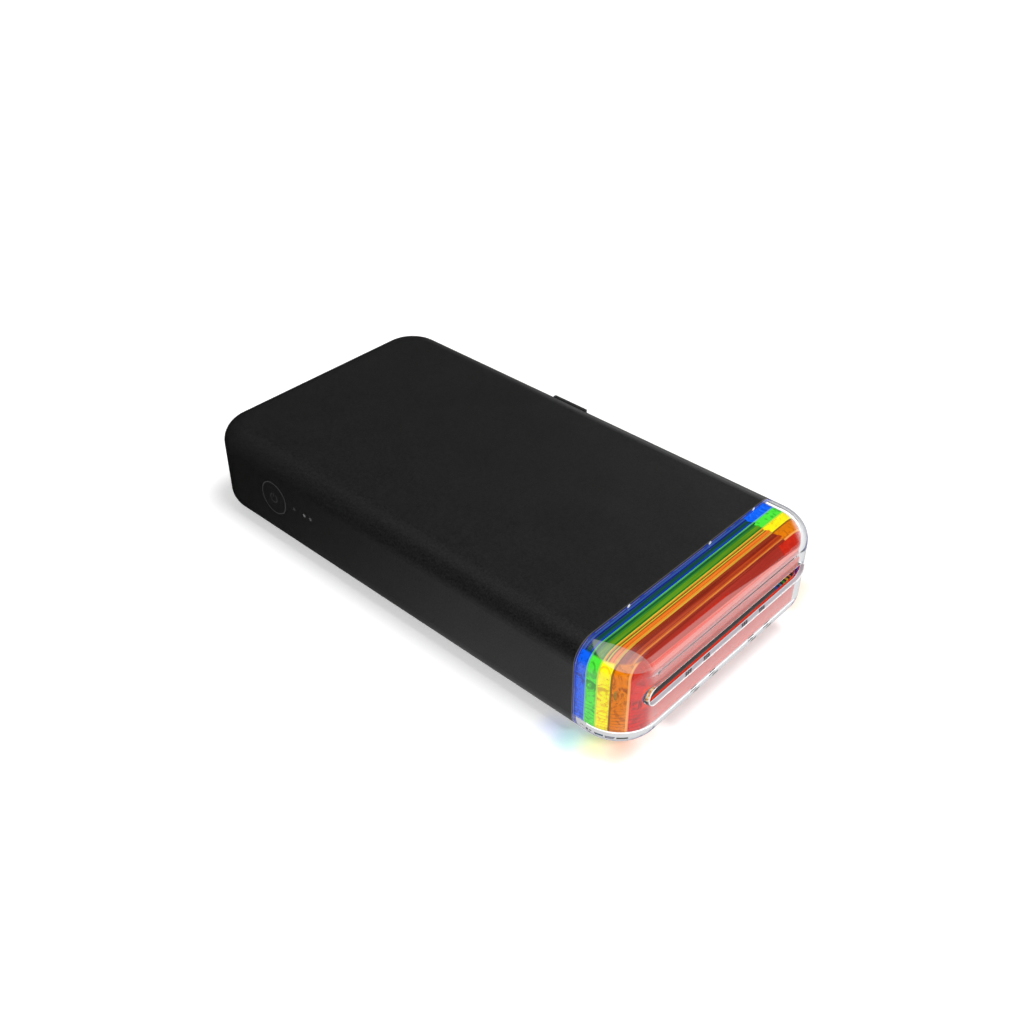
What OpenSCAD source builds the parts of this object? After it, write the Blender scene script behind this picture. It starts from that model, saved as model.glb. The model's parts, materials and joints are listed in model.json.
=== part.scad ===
// Pocket photo printer with a side-loading cartridge of paper and ribbon.
// +Z up, print slot facing -Y, cartridge door on +X, power button on -X.
// The origin lies on the resting surface, under the middle of the body.

/* [Body] */
// Width of the body, across the paper
body_w = 79; // [78:0.5:90]
// Length of the body, along the paper path
body_l = 150; // [149.5:0.5:170]
// Height of the body without its feet
body_h = 27; // [26.8:0.1:32]
// Radius of the four vertical corners, in plan
plan_r = 11.2; // [10:0.1:12]
// Radius of the edges that run round the body
edge_r = 6; // [5.5:0.1:6.5]
// Wall of the case
wall = 1.8; // [1.6:0.1:2]
// How far the feet stand out of the underside
foot_h = 0.5; // [0.3:0.1:1]
// Radius of a foot
foot_r = 4.5; // [3:0.1:6]

/* [Front cap] */
// Length of the clear cap, from the seam to the front face
cap_l = 15.5; // [14:0.1:18]
// Wall of the clear cap
cap_wall = 1.6; // [1.2:0.1:2]
// Thickness of each coloured plate behind the front one
band_t = 2.8; // [2:0.1:2.9]
// Thickness of the plate that closes the cap
cap_back_t = 1.1; // [0.8:0.1:1.4]
// Width of the print slot
slot_w = 63.5; // [58:0.5:66]
// Height of the print slot
slot_h = 5.5; // [5.3:0.1:7]
// Height of the paper path over the underside
path_h = 15; // [14.9:0.1:15.2]

/* [Side door] */
// Radius of the hinge barrel
barrel_r = 1.4; // [1.2:0.1:1.5]
// Height of the hinge axis over the underside
hinge_h = 5.1; // [4.9:0.1:5.3]
// How far the door's top edge lies below the top of the body
door_drop = 3.2; // [3:0.1:3.6]
// Length of the thumb piece of the latch
latch_l = 11.8; // [9:0.1:16]
// Travel of the latch
latch_travel = 1.3; // [0.8:0.1:1.6]
// Gap round the door
door_gap = 0.25; // [0.15:0.05:0.4]

/* [Button and lights] */
// Radius of the power button
button_r = 5; // [4:0.1:5.5]
// Place of the power button along the body
button_y = 46.9; // [44:0.1:48]
// Height of the power button over the underside
button_h = 14.4; // [14:0.1:15]
// Travel of the power button
button_travel = 0.5; // [0.3:0.1:0.6]
// Radius of a status lens
lens_r = 0.5; // [0.4:0.05:0.7]

/* [Paper and cartridge] */
// Width of a sheet
paper_w = 54; // [50:0.5:54]
// Length of a sheet
paper_l = 86; // [80:0.5:86]
// Height of the stack of sheets
stack_h = 2.6; // [1:0.1:2.8]
// Radius of the ribbon on the supply spool
supply_r = 3.9; // [3:0.1:4]
// Radius of the ribbon on the take-up spool
takeup_r = 3.2; // [2.8:0.1:3.4]
// Radius of a spool core
core_r = 2.4; // [2:0.1:2.6]
// Wall of the cartridge
shell_t = 1; // [0.8:0.1:1.2]
// How far the cartridge is pushed out as the door opens
eject = 3.5; // [2:0.1:3.5]

/* [Rollers and gears] */
// Radius of the platen roller
platen_r = 3.2; // [3:0.1:3.4]
// Radius of the feed rollers
feed_r = 2.9; // [2.7:0.1:3]
// Radius of the pinch rollers
pinch_r = 2.2; // [2:0.1:2.4]
// Radius of the pickup roller
pickup_r = 3.2; // [3:0.1:3.3]
// Radius of the roller shafts
shaft_r = 1.2; // [1:0.05:1.25]
// Running clearance of a shaft in its bush
shaft_gap = 0.05; // [0.03:0.01:0.08]
// Gear module
gear_m = 0.5; // [0.495:0.005:0.505]
// Face width of a gear
gear_t = 2.2; // [1.6:0.1:2.4]

/* [Hidden] */
$fn = 64;

far = 60;             // longer than any cut needs to be
seat = 0.02;          // round a pressed-in piece
glue_gap = 0.1;       // between pieces that are glued or clamped
weld = 0.1;           // how far the parts of one solid run into each other
thread_gap = 0.05;    // between a screw and its hole

// Datums of the body
base_z = foot_h;
top_z = base_z + body_h;
front_y = -body_l / 2;
back_y = body_l / 2;
side_x = body_w / 2;
seam_y = front_y + cap_l;
floor_z = base_z + wall;
ceiling_z = top_z - wall;
inner_x = side_x - wall;
inner_back_y = back_y - wall;

// Stations of the cartridge along Y, from the seam backwards
roller_bay_l = 15;
takeup_bay_l = 9.5;
head_bay_l = 10;
supply_bay_l = 11;
tray_spare_l = 1.5;
cart_y0 = seam_y + roller_bay_l;
gap_y0 = cart_y0 + takeup_bay_l;
gap_y1 = gap_y0 + head_bay_l;
supply_y1 = gap_y1 + supply_bay_l;
tray_y1 = gap_y1 + paper_l + tray_spare_l;
head_y = (gap_y0 + gap_y1) / 2;

// Door and its hinge
door_margin = 1.5;
door_y0 = cart_y0 - door_margin;
door_y1 = tray_y1 + door_margin;
door_y = (door_y0 + door_y1) / 2;
door_l = door_y1 - door_y0;
door_top_z = top_z - door_drop;
hinge_x = side_x - barrel_r - 0.1;
hinge_z = base_z + hinge_h;
sill_z = hinge_z - (side_x - hinge_x) - door_gap;
hinge_pin_r = 0.6;
hinge_pin_l = 5;
lug_l = 2.6;
lug_play = 0.3;

// Cartridge
cart_z0 = hinge_z + barrel_r + 0.4;
cart_top_z = door_top_z - 0.1;
cart_x0 = -(side_x - 8);
cart_x1 = side_x - 5;
tray_h = 4.8;
stack_z = cart_z0 + shell_t;
path_z = base_z + path_h;

// Chassis
sheet_t = 1;
plate_x = cart_x0 - 0.7;
plate_x0 = plate_x - sheet_t;
ear_x = paper_w / 2 + 2;
ear_x1 = ear_x + sheet_t;
floor_plate_t = 0.8;
floor_plate_gap = 0.4;
floor_plate_z = cart_z0 - floor_plate_gap - floor_plate_t;
plate_top_z = ceiling_z - 0.3;
deck_t = 0.8;
battery_h = 6.4;
battery_gap = 0.5;
deck_z = ceiling_z - battery_gap - battery_h - deck_t;
motor_bay_l = 36;
deck_back_gap = 2.2;
deck_y0 = gap_y1 + motor_bay_l;
deck_y1 = inner_back_y - deck_back_gap;
bridge_t = 0.7;
bush_r = 1.8;
bush_flange_r = 2.3;
bush_flange_t = 0.5;

// Gears: numbers of teeth, and centres as [y, z]
idler_n = 20;
ribbon_n = 18;
roller_n = 22;
pickup_n = 32;
pinion_n = 12;
mesh_gap = 0.05;
gear_gap = 0.8;
gear_x1 = plate_x0 - gear_gap;
gear_x = gear_x1 - gear_t;
motor_r = 5.5;
motor_gap = 1.03;
nip = 0.15;
feed_nip = 0.1;
pickup_gap = 0.3;
pickup_bay_l = 19;
roll_gap = 0.3;
takeup_rise = 3.75;
roof_z = cart_top_z - shell_t;
function leg(hyp, side) = sqrt(hyp * hyp - side * side);
function pitch_r(n) = n * gear_m / 2;
function centre_gap(n1, n2) = pitch_r(n1) + pitch_r(n2) + mesh_gap;
// The point at ra from a and rb from b, on the upper side of the way from a to b
function meet(a, ra, b, rb) =
    let (d = norm(b - a), u = (b - a) / d, s = (ra * ra - rb * rb + d * d) / (2 * d))
    a + s * u + leg(ra, s) * [-u[1], u[0]];
takeup_c = [(cart_y0 + gap_y0) / 2, path_z + takeup_rise];
supply_c = [(gap_y1 + supply_y1) / 2, roof_z - roll_gap - supply_r];
front_idler_c = takeup_c - [0, centre_gap(idler_n, ribbon_n)];
platen_z = path_z - nip - platen_r;
feed_z = path_z - feed_nip - feed_r;
platen_c = [front_idler_c[0] + leg(centre_gap(idler_n, roller_n), platen_z - front_idler_c[1]), platen_z];
feed_c = [front_idler_c[0] - leg(centre_gap(idler_n, roller_n), feed_z - front_idler_c[1]), feed_z];
pinch_c = [feed_c[0], path_z + nip + pinch_r];
pickup_c = [gap_y1 + pickup_bay_l, stack_z + stack_h + pickup_gap + pickup_r];
transfer_c = meet(platen_c, centre_gap(roller_n, roller_n), pickup_c, centre_gap(roller_n, pickup_n));
motor_z = ceiling_z - motor_gap - motor_r;
motor_c = [pickup_c[0] + leg(centre_gap(pinion_n, pickup_n), motor_z - pickup_c[1]), motor_z];

// Turn of each gear at rest, so that its teeth stand in the gaps of the gear that drives it
function frac(x) = x - floor(x);
function angle_to(a, b) = atan2(b[1] - a[1], b[0] - a[0]);
function mesh_turn(turn, n1, a, b, n2) =
    angle_to(a, b) + 180 + (frac((angle_to(a, b) - turn) * n1 / 360) - 0.5) * 360 / n2;
platen_turn = 0;
front_idler_turn = mesh_turn(platen_turn, roller_n, platen_c, front_idler_c, idler_n);
feed_turn = mesh_turn(front_idler_turn, idler_n, front_idler_c, feed_c, roller_n);
ribbon_turn = mesh_turn(front_idler_turn, idler_n, front_idler_c, takeup_c, ribbon_n);
transfer_turn = mesh_turn(platen_turn, roller_n, platen_c, transfer_c, roller_n);
pickup_turn = mesh_turn(transfer_turn, roller_n, transfer_c, pickup_c, pickup_n);
pinion_turn = mesh_turn(pickup_turn, pickup_n, pickup_c, motor_c, pinion_n);

// ---------- shapes that repeat ----------

module round_rect(w, h, r) {
    square([w - 2 * r, h], center = true);
    square([w, h - 2 * r], center = true);
    for (x = [-1, 1], y = [-1, 1])
        translate([x * (w / 2 - r), y * (h / 2 - r)]) circle(r);
}

// A flat round piece whose rim is rounded, standing on its base
module puck(h, pr, er) {
    rotate_extrude() intersection() {
        square([pr, h]);
        translate([0, h / 2]) round_rect(2 * pr, h, er);
    }
}

// A slab with plan radius pr and a fillet er round both faces
module soft_slab(w, l, h, pr, er) {
    for (x = [-1, 1], y = [-1, 1])
        translate([x * (w / 2 - pr), y * (l / 2 - pr), 0]) puck(h, pr, er);
    translate([0, l / 2 - pr, h / 2]) rotate([90, 0, 0])
        linear_extrude(l - 2 * pr) round_rect(w, h, er);
    translate([-(w / 2 - pr), 0, h / 2]) rotate([90, 0, 90])
        linear_extrude(w - 2 * pr) round_rect(l, h, er);
}

// The body's outer form, moved inwards by t
module body_form(t) {
    translate([0, 0, base_z + t])
        soft_slab(body_w - 2 * t, body_l - 2 * t, body_h - 2 * t, plan_r - t, edge_r - t);
}

// Everything between two stations along Y
module slice(y0, y1) {
    block([-far, y0, -far], [far, y1, far]);
}

// A block given by its lowest and highest corner
module block(lo, hi) {
    translate(lo) cube(hi - lo);
}

// A length of the body's cross-section, moved inwards by t
module section_bar(t, y0, y1) {
    translate([0, y1, base_z + body_h / 2]) rotate([90, 0, 0])
        linear_extrude(y1 - y0) round_rect(body_w - 2 * t, body_h - 2 * t, edge_r - t);
}

module rod_x(c, r, x0, x1) {
    translate([x0, c[0], c[1]]) rotate([0, 90, 0]) cylinder(h = x1 - x0, r = r);
}

module tube_x(c, r, bore, x0, x1) {
    difference() {
        rod_x(c, r, x0, x1);
        rod_x(c, bore, x0 - 1, x1 + 1);
    }
}

module rod_y(x, z, r, y0, y1) {
    translate([x, y1, z]) rotate([90, 0, 0]) cylinder(h = y1 - y0, r = r);
}

module rod_z(x, y, r, z0, z1) {
    translate([x, y, z0]) cylinder(h = z1 - z0, r = r);
}

// An upright plate with rounded outline in plan
module pad(w, l, r, x, y, z0, z1) {
    translate([x, y, z0]) linear_extrude(z1 - z0) round_rect(w, l, r);
}

// A bar along Y whose section is as wide as the print slot and has round ends
module slot_bar(w, h, z, y0, y1) {
    translate([0, y1, z]) rotate([90, 0, 0]) linear_extrude(y1 - y0) round_rect(w, h, h / 2 - 0.01);
}

// A screw that points up, with its head's outer face at z
module screw_up(x, y, z, l, r, head_r, head_t) {
    difference() {
        rod_z(x, y, head_r, z, z + head_t);
        for (a = [0, 90])
            translate([x, y, z]) rotate(a) cube([head_r * 1.2, 0.4, head_t], center = true);
    }
    rod_z(x, y, r, z + head_t, z + head_t + l);
}

// A spur gear's outline. Its flanks are straight, and thinner than half a pitch for backlash.
module gear_outline(n) {
    p = pitch_r(n);
    root = p - 1.2 * gear_m;
    tip = p + 0.9 * gear_m;
    half = PI * gear_m / 2;
    circle(root + 0.01);
    for (i = [0:n - 1]) rotate(i * 360 / n) polygon([
        [root - 0.2, -0.62 * half], [p, -0.44 * half], [tip, -0.2 * half],
        [tip, 0.2 * half], [p, 0.44 * half], [root - 0.2, 0.62 * half]]);
}

module gear(c, n, turn, bore) {
    translate([gear_x, c[0], c[1]]) rotate([90, 0, 90]) linear_extrude(gear_t) difference() {
        rotate(turn) gear_outline(n);
        circle(bore);
    }
}

// A compression spring along Z: one wire swept round a helix
module coil_spring(x, y, z0, z1, r, wire, turns) {
    sides = 6;
    rings = turns * 12;
    function next(k) = (k + 1) % sides;
    function ring(i) = let (a = 30 * i, z = z0 + wire + (z1 - z0 - 2 * wire) * i / rings)
        [for (k = [0:sides - 1]) let (b = 360 * k / sides, q = r + wire * cos(b))
            [x + q * cos(a), y + q * sin(a), z + wire * sin(b)]];
    polyhedron(
        [for (i = [0:rings]) each ring(i)],
        concat(
            [for (i = [0:rings - 1], k = [0:sides - 1]) let (p = i * sides, q = p + sides)
                [p + k, q + k, q + next(k), p + next(k)]],
            [[for (k = [0:sides - 1]) k]],
            [[for (k = [sides - 1:-1:0]) rings * sides + k]]));
}

// ---------- case ----------

black = [0.035, 0.035, 0.037];
steel = [0.72, 0.73, 0.75];
white_plastic = [0.85, 0.85, 0.83];
board_green = [0.05, 0.3, 0.12];

cover_rim_w = 4.5;
cover_w = body_w - 2 * (edge_r + cover_rim_w);
cover_y0 = seam_y + 6;
cover_y1 = back_y - plan_r - 1;
cover_y = (cover_y0 + cover_y1) / 2;
cover_l = cover_y1 - cover_y0;
cover_r = 5;
cover_play = 0.15;
ledge_w = 2;
ledge_t = 0.8;
foot_rim = 2.4;
foot_x = cover_w / 2 - foot_r - foot_rim;
foot_ys = [cover_y0 + foot_r + foot_rim, cover_y1 - foot_r - foot_rim];
foot_sink = 0.5;
screw_r = 1;
screw_head_r = 1.9;
screw_head_t = 0.8;
screw_sink = 0.2;
post_r = 2.4;
post_gap = 1.2;
post_ys = [foot_ys[0] + foot_r + screw_head_r + post_gap, foot_ys[1] - foot_r - screw_head_r - post_gap];
chassis_y0 = seam_y + 4;
chassis_tail_l = 6.7;
chassis_y1 = post_ys[1] + chassis_tail_l;
deck_post_r = 2.2;
deck_edge = 3.4;
deck_tail_l = 11;
deck_screw_x = -plate_x - deck_edge;
deck_screw_ys = [deck_y0 + 4, deck_y1 - deck_tail_l];
deck_screw_end = 1.8;

button_z = base_z + button_h;
lens_z = button_z + 0.5;
lens_ys = [for (d = [8.7, 12.9, 15.4]) button_y - d];
side_board_gap = 3.2;
board_x = -(inner_x - side_board_gap);
board_t = 0.8;
board_y0 = lens_ys[2] - 3;
board_y1 = button_y + button_r + 3.5;
board_half_h = 6;
standoff_r = 1.1;
standoff_edge = 1.6;
standoff_ys = [board_y0 + standoff_edge, board_y1 - standoff_edge];
standoff_rise = board_half_h - standoff_edge;

usb_w = 8.9;
usb_h = 3.2;
usb_l = 7.3;
usb_inset = 0.3;
usb_play = 0.3;
usb_t = 0.3;
usb_tongue_w = 6.6;
usb_tongue_t = 0.7;
usb_z = deck_z - board_t - usb_h / 2;
usb_y1 = back_y - usb_inset;
usb_y0 = usb_y1 - usb_l;

lug_w = 2.2;
door_reveal = 5.2;
lip_t = 1.25;
button_gap = 0.15;

module hinge_lugs() {
    for (y = [door_y0 - door_gap - lug_l, door_y1 + door_gap])
        block([hinge_x - lug_w, y, sill_z], [inner_x + 0.5, y + lug_l, hinge_z + 2]);
}

module main_case() {
    color(black) difference() {
        union() {
            difference() {
                body_form(0);
                body_form(wall);
            }
            hinge_lugs();
            // posts that carry the chassis deck
            for (x = [-1, 1], y = deck_screw_ys)
                rod_z(x * deck_screw_x, y, deck_post_r, deck_z + deck_t, ceiling_z + weld);
            // standoffs of the side board
            for (y = standoff_ys, z = [-1, 1])
                rod_x([y, button_z + z * standoff_rise], standoff_r, -inner_x - weld, board_x);
        }
        // open front end, which the cap closes
        slice(-far * 2, seam_y);
        // door opening, and the notch of the latch's lip
        block([side_x - door_reveal, door_y0 - door_gap, sill_z],
              [far, door_y1 + door_gap, door_top_z + door_gap]);
        block([side_x - lip_t, door_y - latch_l / 2 - door_gap, door_top_z],
              [far, door_y + latch_l / 2 + door_gap, top_z]);
        // bores of the hinge pins
        rod_y(hinge_x, hinge_z, hinge_pin_r + shaft_gap,
              door_y0 - door_gap - lug_l, door_y1 + door_gap + lug_l);
        // bottom opening, with a ledge for the cover's rim
        pad(cover_w - 2 * ledge_w, cover_l - 2 * ledge_w, cover_r - ledge_w, 0, cover_y, -1, floor_z + 1);
        pad(cover_w, cover_l, cover_r, 0, cover_y, -1, floor_z - ledge_t);
        // holes for the button, the lenses, the charging socket and the screws of the deck
        rod_x([button_y, button_z], button_r + button_gap, -far, -inner_x + 0.5);
        for (y = lens_ys) rod_x([y, lens_z], lens_r + seat, -far, -inner_x + 0.5);
        slot_bar(usb_w + 2 * usb_play, usb_h + 2 * usb_play, usb_z, inner_back_y - 1, back_y + 1);
        for (x = [-1, 1], y = deck_screw_ys)
            rod_z(x * deck_screw_x, y, screw_r, deck_z, ceiling_z - deck_screw_end + 0.4);
    }
}

module bottom_cover() {
    rim_w = ledge_w + cover_play;
    color([0.045, 0.045, 0.047]) difference() {
        union() {
            pad(cover_w - 2 * cover_play, cover_l - 2 * cover_play, cover_r, 0, cover_y,
                base_z, floor_z - ledge_t - glue_gap / 2);
            pad(cover_w - 2 * rim_w, cover_l - 2 * rim_w, cover_r - ledge_w, 0, cover_y, base_z, floor_z);
        }
        for (x = [-1, 1], y = foot_ys) rod_z(x * foot_x, y, foot_r + glue_gap, -1, base_z + foot_sink);
        for (x = [-1, 1], y = post_ys) {
            rod_z(x * foot_x, y, screw_r + glue_gap, -1, floor_z + 1);
            rod_z(x * foot_x, y, screw_head_r + glue_gap, -1, base_z + screw_sink + screw_head_t);
        }
    }
}

module rubber_feet() {
    color([0.02, 0.02, 0.02]) for (x = [-1, 1], y = foot_ys)
        translate([x * foot_x, y, 0]) puck(foot_h + foot_sink, foot_r, foot_h / 2);
}

module cover_screws() {
    color([0.25, 0.25, 0.26]) for (x = [-1, 1], y = post_ys)
        screw_up(x * foot_x, y, base_z + screw_sink, floor_plate_z - base_z - screw_head_t - 2 * screw_sink,
                 screw_r - thread_gap, screw_head_r, screw_head_t);
}

// ---------- front cap ----------

plate_y0 = front_y + cap_wall + glue_gap;
plates_y1 = seam_y - glue_gap;
red_t = plates_y1 - plate_y0 - 4 * (band_t + glue_gap);
plate_gap = 0.15;
skirt_l = 2.5;
skirt_t = 1.1;
skirt_inset = wall + glue_gap;
tongue_l = 3;
tongue_w = 4;
tongue_xs = [-20.6, 10.9, 29.6];
chute_w = slot_w - 2 * glue_gap;
chute_h = slot_h - glue_gap;
chute_t = 0.5;
chute_y0 = plate_y0 + 0.2;
chute_y1 = seam_y + 3.6;
function band_y(i) = plate_y0 + red_t + glue_gap + i * (band_t + glue_gap);

module clear_front_cap() {
    color([0.95, 0.97, 1, 0.35]) difference() {
        body_form(0);
        body_form(cap_wall);
        slice(seam_y, far * 2);
        slot_bar(slot_w, slot_h, path_z, -far * 2, front_y + cap_wall + 1);
    }
}

// One plate of the coloured stack, between two stations
module band_plate(y0, y1) {
    difference() {
        intersection() {
            body_form(cap_wall + plate_gap);
            slice(y0, y1);
        }
        slot_bar(slot_w, slot_h, path_z, y0 - 1, y1 + 1);
    }
}

module red_front_plate() {
    color([0.9, 0.12, 0.06]) band_plate(plate_y0, plate_y0 + red_t);
}

module orange_plate() {
    color([0.95, 0.45, 0.05]) band_plate(band_y(0), band_y(0) + band_t);
}

module yellow_plate() {
    color([0.98, 0.88, 0.05]) band_plate(band_y(1), band_y(1) + band_t);
}

module green_plate() {
    color([0.1, 0.75, 0.15]) band_plate(band_y(2), band_y(2) + band_t);
}

module blue_plate() {
    color([0.05, 0.2, 0.85]) band_plate(band_y(3), band_y(3) + band_t);
}

// The plate that closes the cap, with the skirt and tongues that hold it in the case
module cap_backplate() {
    color([0.03, 0.03, 0.03]) difference() {
        union() {
            section_bar(skirt_inset, seam_y, seam_y + skirt_l);
            for (x = tongue_xs, s = [-1, 1])
                translate([x, seam_y + (skirt_l + tongue_l) / 2,
                           base_z + body_h / 2 + s * (body_h / 2 - skirt_inset - skirt_t / 2)])
                    cube([tongue_w, skirt_l + tongue_l, skirt_t], center = true);
        }
        section_bar(skirt_inset + skirt_t, seam_y + cap_back_t, seam_y + skirt_l + 1);
        slot_bar(slot_w, slot_h, path_z, seam_y - 1, seam_y + cap_back_t + 1);
    }
}

module paper_chute() {
    color([0.22, 0.23, 0.23]) difference() {
        slot_bar(chute_w, chute_h, path_z, chute_y0, chute_y1);
        slot_bar(chute_w - 2 * chute_t, chute_h - 2 * chute_t, path_z, chute_y0 - 1, chute_y1 + 1);
    }
}

// ---------- button and lights ----------

flange_x = -inner_x + 0.12;
flange_t = 0.6;
flange_w = 0.9;
stem_r = 1.4;
switch_half_w = 1.9;
plunger_r = 0.9;
switch_t = 1;
plunger_l = 0.6;
stem_x = board_x - switch_t - plunger_l - button_travel - 0.1;

module power_button() {
    color([0.04, 0.04, 0.042]) {
        rod_x([button_y, button_z], button_r, -side_x, flange_x + weld);
        rod_x([button_y, button_z], button_r + flange_w, flange_x, flange_x + flange_t);
        rod_x([button_y, button_z], stem_r, flange_x, stem_x);
    }
}

module button_switch() {
    color([0.75, 0.75, 0.76]) {
        block([board_x - switch_t, button_y - switch_half_w, button_z - switch_half_w],
              [board_x, button_y + switch_half_w, button_z + switch_half_w]);
        rod_x([button_y, button_z], plunger_r, board_x - switch_t - plunger_l, board_x - switch_t / 2);
    }
}

module side_board() {
    color(board_green)
        block([board_x, board_y0, button_z - board_half_h],
              [board_x + board_t, board_y1, button_z + board_half_h]);
}

lens_rim = 0.4;
led_t = 0.4;

module status_lenses() {
    color([0.9, 0.9, 0.9]) for (y = lens_ys) {
        rod_x([y, lens_z], lens_r, -side_x, board_x - 0.5);
        rod_x([y, lens_z], lens_r + lens_rim, -inner_x + 0.05, -inner_x + 0.5);
    }
}

module status_leds() {
    color([0.95, 0.95, 0.8]) for (y = lens_ys)
        block([board_x - led_t, y - led_t, lens_z - 2 * led_t], [board_x, y + led_t, lens_z + 2 * led_t]);
}

// ---------- door ----------

latch_inset = 2.9;
latch_t = 1.5;
latch_h = 2.9;
latch_drop = 3.9;
latch_shoulder = 1.6;
latch_spring_l = 3.2;
latch_x1 = side_x - latch_inset;
latch_x0 = latch_x1 - latch_t;
latch_top_z = door_top_z - latch_drop;
latch_z0 = latch_top_z - latch_h;
latch_w = latch_l + 2 * latch_shoulder;
tip_t = 0.8;
tip_side_gap = 0.6;
tip_gap = 0.1;
neck_side_gap = 0.3;
neck_gap = 0.4;
thumb_h = 2.6;
thumb_z1 = door_top_z - tip_gap;
thumb_z0 = thumb_z1 - thumb_h;
thumb_play = 0.2;
thumb_lip_t = 1;
thumb_lip_rise = 1.1;
thumb_lip_root = 0.5;
grip_pitch = 0.6;
grip_depth = 0.2;
grip_w = 0.24;
spring_x = (latch_x0 + inner_x) / 2 - 0.2;
spring_seat_z = latch_z0 - latch_travel - latch_spring_l;
spring_shelf_half_w = 2.4;
guide_play = 0.2;
guide_t = 1.2;
guide_lip_w = 1;
guide_lip_gap = 0.15;
guide_y = latch_w / 2 + guide_play;
door_root = 0.2;
door_edge_t = 3.6;
door_rib_w = 1;
door_rib_t = 0.8;
door_rib_rise = 3.4;

module cartridge_door() {
    color(black) {
        difference() {
            union() {
                intersection() {
                    difference() {
                        body_form(0);
                        body_form(wall);
                    }
                    block([side_x - door_edge_t, door_y0, hinge_z], [far, door_y1, door_top_z]);
                }
                rod_y(hinge_x, hinge_z, barrel_r, door_y0, door_y1);
            }
            // window of the thumb piece, and the pin holes in both ends of the barrel
            block([latch_x0, door_y - latch_l / 2 - thumb_play, thumb_z0 - latch_travel - 0.3],
                  [far, door_y + latch_l / 2 + thumb_play, far]);
            for (y = [door_y0, door_y1])
                rod_y(hinge_x, hinge_z, hinge_pin_r, y - hinge_pin_l, y + hinge_pin_l);
        }
        // guides of the latch, each a rib with a lip in front of the latch's plate
        for (s = [-1, 1]) translate([0, door_y + s * guide_y, 0]) {
            block([latch_x0, min(0, s * guide_t), latch_z0 - latch_travel],
                  [inner_x + door_root, max(0, s * guide_t), latch_top_z - 0.1]);
            block([latch_x1 + guide_lip_gap, min(-s * guide_lip_w, 0), latch_z0 - latch_travel],
                  [inner_x + door_root, max(-s * guide_lip_w, 0), latch_top_z - 0.5]);
        }
        // shelf under the latch's spring
        block([latch_x0, door_y - spring_shelf_half_w, spring_seat_z - 1],
              [inner_x + door_root, door_y + spring_shelf_half_w, spring_seat_z]);
        // ribs that stiffen the panel
        for (y = [door_y0 + door_l / 6, door_y1 - door_l / 6])
            block([inner_x - door_rib_t, y - door_rib_w / 2, hinge_z + door_rib_rise],
                  [inner_x + door_root, y + door_rib_w / 2, latch_top_z - 0.1]);
    }
}

module door_hinge_pins() {
    color(steel) {
        rod_y(hinge_x, hinge_z, hinge_pin_r - seat / 2,
              door_y0 - door_gap - lug_l + lug_play, door_y0 + hinge_pin_l - 0.1);
        rod_y(hinge_x, hinge_z, hinge_pin_r - seat / 2,
              door_y1 - hinge_pin_l + 0.1, door_y1 + door_gap + lug_l - lug_play);
    }
}

module door_latch() {
    color([0.07, 0.07, 0.073]) {
        // thumb piece with grip lines, and the lip that stands over the rounded edge
        difference() {
            block([latch_x1 - weld, door_y - latch_l / 2, thumb_z0],
                  [side_x, door_y + latch_l / 2, thumb_z1]);
            for (i = [-1:1], z = thumb_z0 + thumb_h / 2 + i * grip_pitch)
                block([side_x - grip_depth, door_y - latch_l / 2 + 1, z - grip_w / 2],
                      [far, door_y + latch_l / 2 - 1, z + grip_w / 2]);
        }
        block([side_x - thumb_lip_t, door_y - latch_l / 2, door_top_z - thumb_lip_root],
              [side_x, door_y + latch_l / 2, door_top_z + thumb_lip_rise]);
        // plate that runs in the door's guides, its neck, and the tip that stands behind the case's edge
        block([latch_x0, door_y - latch_w / 2, latch_z0], [latch_x1, door_y + latch_w / 2, latch_top_z]);
        block([latch_x0, door_y - latch_l / 2 + neck_side_gap, latch_z0],
              [latch_x1, door_y + latch_l / 2 - neck_side_gap, door_top_z - neck_gap]);
        block([latch_x0, door_y - latch_l / 2 + tip_side_gap, latch_z0],
              [latch_x0 + tip_t, door_y + latch_l / 2 - tip_side_gap, door_top_z - tip_gap]);
    }
}

module latch_spring() {
    color(steel) coil_spring(spring_x, door_y, spring_seat_z, latch_z0, 1.05, 0.2, 4);
}

// ---------- chassis and electronics ----------

head_pin_r = 0.7;
head_travel = 0.9;
head_half_l = paper_w / 2 + 1;
head_lift = 1.3;
head_z = path_z + head_lift;
element_t = 1.2;
element_inset = 0.4;
bridge_z = plate_top_z - bridge_t;
head_spring_l = 2.3;
sink_z0 = head_z + element_t;
sink_z1 = bridge_z - head_spring_l;
head_pin_rise = 0.3;
head_pin_c = [head_y, (sink_z0 + sink_z1) / 2 + head_pin_rise];
head_pin_l = 3.9;
head_side_gap = 1.5;
head_w = head_bay_l - 2 * head_side_gap;
fin_pitch = 3;
fin_gap = 1.4;
fin_root = 0.41;       // share of the heatsink's height
head_spring_x = 18;
arm_x = 9;
arm_w = 12;
arm_lead = 3;
arm_y0 = pickup_c[0] - arm_lead;
feed_ear_half_w = 3.4;
head_ear_gap = 0.7;
pickup_ear_x = 11;
pickup_half_l = 8;
right_bushes = [platen_c, feed_c, pinch_c];
left_bushes = [platen_c, feed_c, pinch_c, pickup_c, takeup_c];
main_y0 = deck_y0 + 1.5;
main_l = 15;
main_side_gap = 1.6;
main_half_w = deck_screw_x - deck_post_r - main_side_gap;
main_rise = 0.8;
main_boss_r = 1.3;
main_screw_r = 0.55;
main_head_r = 1.2;
main_head_t = 0.7;
main_edge = 2;
main_screw_x = main_half_w - main_edge;
main_screw_ys = [main_y0 + main_edge, main_y0 + main_l - main_edge];
battery_y0 = main_y0 + main_l + 1.5;
battery_y1 = deck_y1 - 2;
battery_half_w = main_half_w - 1;
battery_corner_r = 1.5;
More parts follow.
